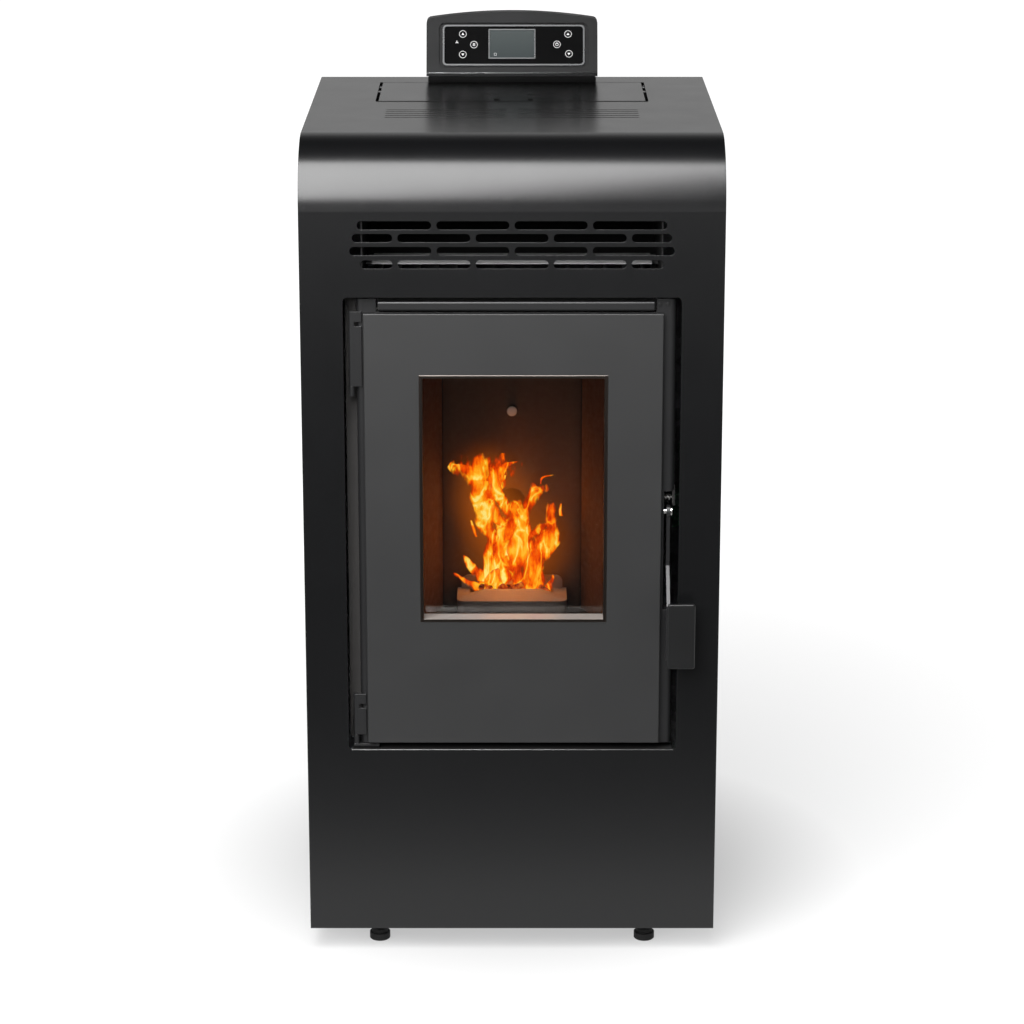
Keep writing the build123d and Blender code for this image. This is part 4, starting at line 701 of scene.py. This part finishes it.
# %% [markdown]
# ## Behind the grille
# The lowest slots of the grille look down on a pale tray on the heat exchanger.  It is one more strip, far enough back
# and low enough that only the last row of slots shows it.

# %% Pale tray
duct_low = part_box("warm_air_duct")[0]
TRAY_PLACE = (0.0, duct_low.y + 76 * MM, 772 * MM)
strip("fin_tray", TRAY_PLACE, (300, 54, 1.2), finish["pale_zinc"])
print("tray at", tuple(round(v, 4) for v in TRAY_PLACE))

# %% [markdown]
# ## Cap on the back lining
# A pale ceramic cap closes a sensor's hole high in the firebox's back wall.  It is a low cylinder with bevelled rims.

# %% Ceramic cap
CAP_Z = 584 * MM
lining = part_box("back_lining")[0]
cap = fresh(bpy.ops.mesh.primitive_cylinder_add, "peephole_cap", vertices=48, radius=5.6 * MM, depth=1.2 * MM)
apply_modifier(cap, "BEVEL", width=0.5 * MM, segments=3)
settle(cap, (0.0, lining.y - 0.4 * MM, CAP_Z), (math.radians(90), 0.0, 0.0))
dress(cap, wear("pale_ceramic", (0.62, 0.55, 0.50), 0.6, 0.05, 600.0), "root")
print("cap on, at z =", round(CAP_Z, 4))

# %% [markdown]
# ## The fire
# A pellet fire is small and lively: a bed of glowing pellets in the cast cup, and thin sheets of flame that the blower
# drives upwards.  Everything of the fire rides on the pot, because the fire goes where its pot goes.

# %% Where the fire burns
CUP_FROM_FRONT = 37 * MM    # of the pot
CUP_BELOW_RIM = 14 * MM
pot_low, pot_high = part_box("burn_pot")
CUP_CENTRE = Vector(((pot_low.x + pot_high.x) / 2, pot_low.y + CUP_FROM_FRONT, pot_high.z - CUP_BELOW_RIM))
print("cup centre", tuple(round(v, 4) for v in CUP_CENTRE))

# %% [markdown]
# ## Burning pellets
# Pellets are short pressed rods.  One is modelled and copied, and the copies are tumbled into the cup with a seeded
# random generator, so that every run gives the same pile.  One cloudy noise drives both colours of their finish: it is
# charred wood where the noise is low, and cracks that glow from red to yellow where it is high.

# %% Burning pellets
CUP_HALF = Vector((38 * MM, 9 * MM, 0.0))
PELLET_RADIUS = 3.1 * MM
PELLET_LENGTH = 13 * MM
PELLET_COUNT = 44
LAYERS = 3
LAYER_STEP, LOWEST_LAYER, HEAP = 4.6, -6.0, 3.0     # millimetres; the heap is highest in the middle of the cup
TIP = 0.5                                           # radians: how far a pellet may lie out of level


def ember_glow():
    """Charred wood with glowing cracks: the hotter the noise, the brighter the orange."""
    material, tree, principled = shader("burning_pellet", Roughness=0.95, Emission_Strength=0.55)
    heat = noise(tree, 130.0, 6.0, rough=0.6)
    feed(principled, Base_Color=ramp(tree, heat, (0.4, (0.02, 0.013, 0.01)), (0.7, (0.09, 0.05, 0.035))),
         Emission_Color=ramp(tree, heat, (0.38, 0.0), (0.50, (0.75, 0.05, 0.0)), (0.62, (1.0, 0.26, 0.02)),
                             (0.8, (1.0, 0.62, 0.16))))
    bump(tree, principled, heat, 0.6, 0.0008)
    return material


def twin(piece, name):
    """A copy with a mesh of its own."""
    copy = piece.copy()
    copy.data = piece.data.copy()
    copy.name = copy.data.name = name
    bpy.context.scene.collection.objects.link(copy)
    return copy


pellet = fresh(bpy.ops.mesh.primitive_cylinder_add, "pellet", vertices=14, radius=PELLET_RADIUS, depth=PELLET_LENGTH)
apply_modifier(pellet, "BEVEL", width=0.6 * MM, segments=2)
chance = random.Random(7)
pile = []
for i in range(PELLET_COUNT):
    copy = twin(pellet, f"pellet_{i}")
    along = chance.uniform(-1.0, 1.0)
    height = (i % LAYERS * LAYER_STEP + LOWEST_LAYER + HEAP * (1 - along * along)) * MM
    place = CUP_CENTRE + Vector((CUP_HALF.x * along, CUP_HALF.y * chance.uniform(-1.0, 1.0), height))
    settle(copy, place, (math.radians(90) + chance.uniform(-TIP, TIP), 0.0, chance.uniform(0.0, math.pi)))
    pile.append(copy)
bpy.data.objects.remove(pellet)
embers = dress(joined(pile, "burning_pellets"), ember_glow(), "pot")
print("pellets:", PELLET_COUNT, "faces:", len(embers.data.polygons))

# %% [markdown]
# ## What a flame looks like
# Fire has no surface, but a still picture of it reads as thin, ruffled sheets: almost white-yellow where they fold,
# orange in between, and dark red where they fray out.  The material reads the sheet's own UV map, so that its edges and
# its tip fade out wherever the tongue bends.  One noise tears those edges, and the crests of another are the folds.

# %% Flame material
FLAME_GRAIN = (1.0, 1.0, 0.42)      # draws the noise out upwards


def flame_glow():
    """Emission from dark red to pale yellow, fading out at the edges of the sheet and at its tip."""
    material, tree, principled = shader("flame", Roughness=1.0, Specular_IOR_Level=0.0, Base_Color=BLACK,
                                        Emission_Strength=1.15)
    flat = axes(tree, coordinates(tree, "UV"))
    edge = calc(tree, "ABSOLUTE", calc(tree, "SUBTRACT", flat["X"], 0.5))
    body = calc(tree, "MULTIPLY", remap(tree, edge, 0.5, 0.12), remap(tree, flat["Y"], 1.0, 0.88))
    licks = noise(tree, 75.0, 5.0, FLAME_GRAIN, 0.55)
    heat = calc(tree, "ADD", body, remap(tree, licks, 0.30, 0.70, -0.62, 0.62))
    folds = noise(tree, 50.0, 3.0, FLAME_GRAIN, 0.45, Distortion=0.8)
    fold_line = calc(tree, "ABSOLUTE", calc(tree, "SUBTRACT", folds, 0.5))
    crest = remap(tree, fold_line, 0.055, 0.0, 0.0, 0.42)
    calm = calc(tree, "MULTIPLY", calc(tree, "MINIMUM", heat, 1.0), remap(tree, licks, 0.36, 0.64, 0.12, 0.62))
    colour = ramp(tree, calc(tree, "ADD", calm, crest),
                  (0.04, (0.40, 0.018, 0.0)), (0.16, (0.80, 0.055, 0.0)), (0.32, (1.0, 0.17, 0.001)),
                  (0.50, (1.0, 0.34, 0.006)), (0.68, (1.0, 0.55, 0.035)), (0.92, (1.0, 0.80, 0.20)))
    feed(principled, Emission_Color=colour, Alpha=ramp(tree, heat, (0.10, 0.0), (0.50, 0.9)))
    return material


flame_finish = flame_glow()
print("flame material ready")

# %% [markdown]
# ## Painted glow
# Behind the flames an amber glow of the firelight is painted on one more sheet, without folds: its alpha falls
# smoothly from the middle of its UV map, and is gone before the sheet's edge.

# %% Painted glow material
def painted_glow_material():
    """The amber glow painted round the flames: strongest in the middle of its sheet."""
    material, tree, principled = shader("flame_painted_glow", Roughness=1.0, Specular_IOR_Level=0.0, Base_Color=BLACK,
                                        Emission_Color=(0.95, 0.20, 0.012, 1.0), Emission_Strength=0.7)
    from_middle = link(tree, "ShaderNodeVectorMath", {"operation": "DISTANCE"}, _0=coordinates(tree, "UV"),
                       _1=(0.5, 0.5, 0.0)).outputs["Value"]
    feed(principled, Alpha=remap(tree, from_middle, 0.5, 0.0, 0.0, 0.42, interpolation_type="SMOOTHERSTEP"))
    return material


painted_glow_finish = painted_glow_material()
print("haze material ready")

# %% [markdown]
# ## Where the tongues run
# Each tongue of flame is written down as a few stations from its root to its tip.  A smooth curve leads from station
# to station, so that a tongue leans, swells and narrows without corners.

# %% Routes of the tongues
# each tongue: how far behind the middle of the cup, then its stations (sideways, height, width), all in millimetres
TONGUES = {
    "left_column": (1, ((-20, 374, 16), (-26, 400, 14), (-27, 428, 15), (-23, 441, 17), (-31, 457, 20), (-31, 476, 24),
                        (-34, 490, 32), (-32, 501, 48), (-31, 513, 66), (-30, 525, 84), (-24, 540, 60))),
    "left_wing": (3, ((-28, 504, 26), (-36, 512, 30), (-46, 519, 26), (-56, 525, 18), (-67, 527, 6))),
    "right_wing": (-1, ((-24, 508, 24), (-18, 517, 26), (-9, 525, 22), (-1, 530, 16), (6, 531, 5))),
    "left_strand": (-4, ((-6, 440, 9), (-1, 456, 14), (-1, 467, 14), (-7, 480, 16), (-16, 495, 18), (-21, 513, 16),
                         (-18, 527, 24))),
    "centre": (-2, ((6, 376, 18), (7, 392, 14), (7, 413, 18), (7, 432, 30), (8, 447, 34), (12, 461, 24),
                    (16, 474, 20), (19, 488, 24), (27, 498, 30), (35, 507, 26))),
    "right_blob": (-5, ((20, 378, 16), (25, 396, 18), (29, 416, 22), (36, 434, 32), (42, 446, 38), (44, 457, 24),
                        (43, 472, 17), (42, 484, 9))),
    "right_body": (0, ((22, 378, 40), (22, 398, 36), (24, 416, 34), (28, 432, 34), (36, 446, 26), (44, 456, 10))),
    "left_body": (4, ((-16, 380, 34), (-14, 400, 30), (-18, 418, 26), (-12, 436, 32), (-2, 452, 26), (6, 466, 12))),
    "cross_left": (4, ((14, 446, 12), (2, 452, 18), (-10, 458, 20), (-20, 468, 18), (-28, 484, 16))),
    "cross_right": (3, ((-6, 420, 10), (2, 430, 20), (14, 440, 26), (30, 450, 22), (40, 462, 14))),
    "low_left_far": (-3, ((-30, 379, 24), (-43, 387, 22), (-55, 394, 14), (-67, 403, 5))),
    "low_left_near": (2, ((-30, 390, 20), (-40, 403, 18), (-49, 412, 11), (-55, 421, 4))),
    "low_middle": (5, ((-10, 374, 66), (-10, 388, 58), (-12, 399, 40), (-20, 410, 22), (-22, 420, 8))),
    "low_front": (-6, ((-14, 376, 34), (-16, 386, 30), (-20, 396, 20), (-17, 408, 8))),
    "low_right": (-4, ((26, 374, 26), (30, 384, 24), (34, 393, 16), (31, 408, 7))),
    "low_right_far": (1, ((38, 376, 16), (41, 384, 14), (45, 392, 7), (46, 399, 3))),
    "back_veil": (8, ((-4, 380, 50), (-6, 410, 44), (-4, 440, 50), (2, 465, 34), (6, 485, 18))),
    "stray_left": (-2, ((-40, 444, 3), (-43, 453, 4), (-46, 463, 2))),
    "stray_middle": (-2, ((-11, 507, 3), (-9, 511, 4), (-7, 515, 2))),
    "stray_top": (-2, ((32, 505, 2), (33, 511, 4), (40, 514, 9), (46, 515, 3))),
    "stray_right": (-2, ((55, 468, 6), (54, 474, 4), (55, 482, 2))),
}
# sheets of painted glow behind the flames, written down like the tongues
PAINTED_GLOWS = {"painted_glow_low": (10, ((6, 350, 150), (6, 430, 175), (4, 510, 150))),
         "painted_glow_high": (11, ((-24, 410, 110), (-26, 480, 120), (-28, 560, 110)))}


def between(stations, share):
    """A smooth step between stations: where a route is after this share of its length."""
    place = share * (len(stations) - 1)
    i = min(int(place), len(stations) - 2)
    t = place - i
    p0, p1, p2, p3 = (stations[min(max(k, 0), len(stations) - 1)] for k in (i - 1, i, i + 1, i + 2))
    return [0.5 * (2 * b + (c - a) * t + (2 * a - 5 * b + 4 * c - d) * t * t + (3 * b - a - 3 * c + d) * t ** 3)
            for a, b, c, d in zip(p0, p1, p2, p3)]


print("routes:", len(TONGUES), "tongues and", len(PAINTED_GLOWS), "sheets of haze")

# %% [markdown]
# ## Drawing the tongues
# A tongue is a grid that is drawn up row by row: every row is scaled to the flame's width at that height and moved
# sideways.  A Displace modifier then ruffles the sheet with a cloud texture.

# %% Tongues of flame
FLAME_ROWS = 26
FLAME_COLUMNS = 8
RUFFLE_SCALE = 0.022        # metres from one ruffle to the next, more or less
RUFFLE_DEPTH = 9 * MM
THINNEST = 1.0              # millimetres: no row is narrower

ruffle = bpy.data.textures.new("ruffle", "CLOUDS")
ruffle.noise_scale = RUFFLE_SCALE


def choose_row(sheet, level):
    """Select the vertices of one row of an upright grid in edit mode, unless an earlier row took them."""
    grid = bmesh.from_edit_mesh(sheet.data)
    for vertex in grid.verts:
        taken = vertex.tag
        vertex.select_set(abs(vertex.co.z - level) < 0.4 / FLAME_ROWS and not taken)
        vertex.tag = taken or vertex.select
    grid.select_flush(True)
    bmesh.update_edit_mesh(sheet.data)


def flame_tongue(name, behind, stations, material):
    """Draw a flat grid up into a tongue, row by row, and ruffle it."""
    tongue = fresh(bpy.ops.mesh.primitive_grid_add, "flame_" + name, x_subdivisions=FLAME_COLUMNS,
                   y_subdivisions=FLAME_ROWS, size=1.0)
    settle(tongue, turn=(math.radians(90), 0.0, 0.0))
    bpy.ops.object.mode_set(mode="EDIT")
    bpy.ops.mesh.select_mode(type="VERT")
    for row in range(FLAME_ROWS + 1):
        share = row / FLAME_ROWS
        level = share - 0.5
        choose_row(tongue, level)
        sideways, height, width = between(stations, share)
        bpy.ops.transform.resize(value=(max(width, THINNEST) * MM, 1.0, 1.0), center_override=(0.0, 0.0, level))
        bpy.ops.transform.translate(value=(sideways * MM, CUP_CENTRE.y + behind * MM, height * MM - level))
    bpy.ops.object.mode_set(mode="OBJECT")
    apply_modifier(tongue, "DISPLACE", texture=ruffle, texture_coords="GLOBAL", direction="Y", strength=RUFFLE_DEPTH)
    return dress(tongue, material, "pot", 180.0)


for routes, glow in ((TONGUES, flame_finish), (PAINTED_GLOWS, painted_glow_finish)):
    for name, (behind, stations) in routes.items():
        flame_tongue(name, behind, stations, glow)
print("sheets of flame drawn:", len(TONGUES) + len(PAINTED_GLOWS))

# %% [markdown]
# ## Firelight
# The flames glow, but their light on the walls comes from two small lamps inside the fire.  Lamps are much cleaner than
# glowing meshes at a low sample count, and their falloff gives the walls the warm halo round the fire.

# %% Firelight
FIRE_POWER = 0.25           # watts of the upper lamp
FIRE_COLOUR = (1.0, 0.31, 0.045)


def new_lamp(name, kind, place, power, colour):
    """A lamp of some kind in its place."""
    data = bpy.data.lights.new(name, kind)
    data.energy = power
    data.color = colour
    lamp = bpy.data.objects.new(name, data)
    lamp.location = place
    bpy.context.scene.collection.objects.link(lamp)
    return lamp


def hide_lamp(lamp):
    """Let a lamp give light without being seen, straight on or through the glass."""
    for ray in ("camera", "glossy", "transmission"):
        setattr(lamp, "visible_" + ray, False)


# each lamp: towards the door from the middle of the cup and up from the pot's rim, in metres, then power and radius
for name, forward, up, power, radius in (("low_firelight", 0.008, 0.050, FIRE_POWER * 1.5, 0.012),
                                         ("high_firelight", 0.006, 0.085, FIRE_POWER, 0.020)):
    lamp = new_lamp(name, "POINT", (CUP_CENTRE.x, CUP_CENTRE.y - forward, pot_high.z + up), power, FIRE_COLOUR)
    lamp.data.shadow_soft_size = radius
    hide_lamp(lamp)
print("firelight on")

# %% [markdown]
# ## The studio's floor
# A product photo on white is lit by one large softbox and a floor that glows a little by itself, so that the ground
# burns out to white and only a thin shadow is left under the stove.  The floor glows less close to the stove: a
# shadow painted round its foot, on top of the real one.

# %% Floor
# the floor's glow: lowest at the stove's foot, where it is a painted shadow, and full white far off
GLOW_IN_PAINTED_SHADOW, GLOW_NEAR, GLOW_FAR = 0.46, 0.72, 1.0
GLOW_STARTS, GLOW_ENDS = 0.24, 1.5      # metres from the middle of the stove
FLOOR_SIDE = 60.0
FLOOR_Z = -0.0005                       # half a millimetre under the feet


def stage_plane(name, size, place, material, turn=None):
    """A flat rectangle that belongs to the studio, not to the stove."""
    plane = fresh(bpy.ops.mesh.primitive_plane_add, name, size=1.0)
    plane.scale = (*size, 1.0)
    settle(plane, place, turn)
    plane.data.materials.append(material)
    return plane


pale_floor, tree, principled = shader("pale_floor", Roughness=0.9, Specular_IOR_Level=0.1,
                                      Base_Color=(0.20, 0.20, 0.20, 1.0), Emission_Strength=1.0)
from_stove = link(tree, "ShaderNodeVectorMath", {"operation": "LENGTH"}, _0=coordinates(tree)).outputs["Value"]
# painted shadow: the closer to the stove, the dimmer the floor's glow
feed(principled, Emission_Color=ramp(tree, remap(tree, from_stove, GLOW_STARTS, GLOW_ENDS),
                                     (0.0, GLOW_IN_PAINTED_SHADOW), (0.14, GLOW_NEAR), (1.0, GLOW_FAR)))
stage_plane("floor", (FLOOR_SIDE, FLOOR_SIDE), (0.0, 0.0, FLOOR_Z), pale_floor)
print("floor laid")

# %% [markdown]
# ## Cloths on the floor
# Two cloths lie in front of the stove, and neither is seen by the camera.  The dark one keeps the floor's light off the
# cabinet's face.  The faded one only shows in glossy paint, where the floor then fades from white at its foot to black.

# %% Two cloths in front of the stove
CLOTH_SIZE = (6.0, 5.0)     # metres
FADE_LENGTH = 2.0


def only_for(piece, *rays):
    """Let a studio sheet be met by these kinds of ray alone."""
    for kind in ("camera", "diffuse", "glossy", "shadow", "transmission", "volume_scatter"):
        setattr(piece, "visible_" + kind, kind in rays)


def lay_cloth(name, gap, height, material, *rays):
    """Lay a cloth so many metres in front of the cabinet and above the floor, for these kinds of ray."""
    only_for(stage_plane(name, CLOTH_SIZE, (0.0, front_y - gap - CLOTH_SIZE[1] / 2, height), material), *rays)


dark = shader("dark_cloth", Roughness=1.0, Specular_IOR_Level=0.0, Base_Color=(0.01, 0.01, 0.01, 1.0))[0]
lay_cloth("dark_cloth", 0.45, 0.004, dark, "diffuse", "transmission")

faded, tree, principled = shader("faded_cloth", Roughness=1.0, Specular_IOR_Level=0.0, Base_Color=BLACK,
                                 Emission_Strength=1.0)
away = remap(tree, axes(tree, coordinates(tree))["Y"], front_y, front_y - FADE_LENGTH)
feed(principled, Emission_Color=ramp(tree, away, (0.0, 1.0), (0.09, 0.95), (0.16, 0.55), (0.26, 0.22), (0.42, 0.08),
                                     (1.0, 0.02)))
lay_cloth("faded_cloth", 0.02, 0.003, faded, "glossy")
print("cloths laid")

# %% [markdown]
# ## Softbox and scrim
# The softbox hangs in front, above and to the left, and its reflection is the bright band on the bend.  A second,
# small one stands for the room's light that falls into the fire through the window.  A scrim over the console, as a
# photographer would hang one, keeps the softbox's glare off the console's face.

# %% Softbox and scrim
SOFTBOX_POWER = 275.0       # watts
ROOM_POWER = 0.030


def softbox(name, place, aim, size, power, colour):
    """A rectangular light at place that faces aim."""
    lamp = new_lamp(name, "AREA", place, power, colour)
    lamp.data.shape = "RECTANGLE"
    lamp.data.size, lamp.data.size_y = size
    lamp.rotation_euler = (Vector(aim) - Vector(place)).to_track_quat("-Z", "Y").to_euler()
    return lamp


key_light = softbox("front_softbox", (-0.68, front_y - 1.70, 2.60), (0.0, front_y, 0.86), (2.0, 3.4), SOFTBOX_POWER,
                    WHITE[:3])
key_light.visible_transmission = False
room_light = softbox("room_light_in_the_fire", (0.0, front_y + 0.032, 0.47), (0.0, front_y + 0.12, 0.37),
                     (0.16, 0.10), ROOM_POWER, (1.0, 0.93, 0.86))
hide_lamp(room_light)

gauze = shader("scrim", Roughness=1.0, Specular_IOR_Level=0.0, Alpha=0.94, Base_Color=BLACK)[0]
scrim_place = (0.0, console_low.y - 0.20, console_high.z + 0.20)
scrim = stage_plane("scrim", (0.90, 0.60), scrim_place, gauze, (math.radians(38), 0.0, 0.0))
only_for(scrim, "glossy", "shadow")
print("softbox and scrim up")

# %% [markdown]
# ## The air
# The world is what is left when a ray meets nothing.  To the camera it is white, and for diffuse light an even grey.
# In mirrors it is bright low down behind the stove, as a white backdrop would be, dimmer overhead and dark in front,
# and that is what the top plate shows.

# %% Studio air
AIR_GREY = 0.38             # what diffuse light meets

world = bpy.data.worlds.new("studio_air")
world.use_nodes = True
air = world.node_tree
direction = axes(air, coordinates(air, "Generated"))
in_mirrors = ramp(air, remap(air, direction["Y"], -1.0, 1.0), (0.0, 0.018), (0.25, 0.026), (0.5, 0.22), (0.88, 0.15),
                  (0.96, 0.54), (1.0, 0.64))
overhead = remap(air, direction["Z"], 0.2, 1.0, 1.0, 0.3)
rays = link(air, "ShaderNodeLightPath").outputs
diffuse = rays["Is Diffuse Ray"]
lit = blend(air, diffuse, in_mirrors, (AIR_GREY, AIR_GREY, AIR_GREY, 1.0))
dimmed = link(air, "ShaderNodeVectorMath", {"operation": "SCALE"}, _0=lit,
              _3=calc(air, "MAXIMUM", overhead, diffuse)).outputs[0]
feed(air.nodes["Background"], Color=blend(air, rays["Is Camera Ray"], dimmed, WHITE))
bpy.context.scene.world = world
bpy.context.scene.view_settings.view_transform = "Standard"
print("studio air: white to the camera, even for diffuse light, dark in front of the stove in mirrors")
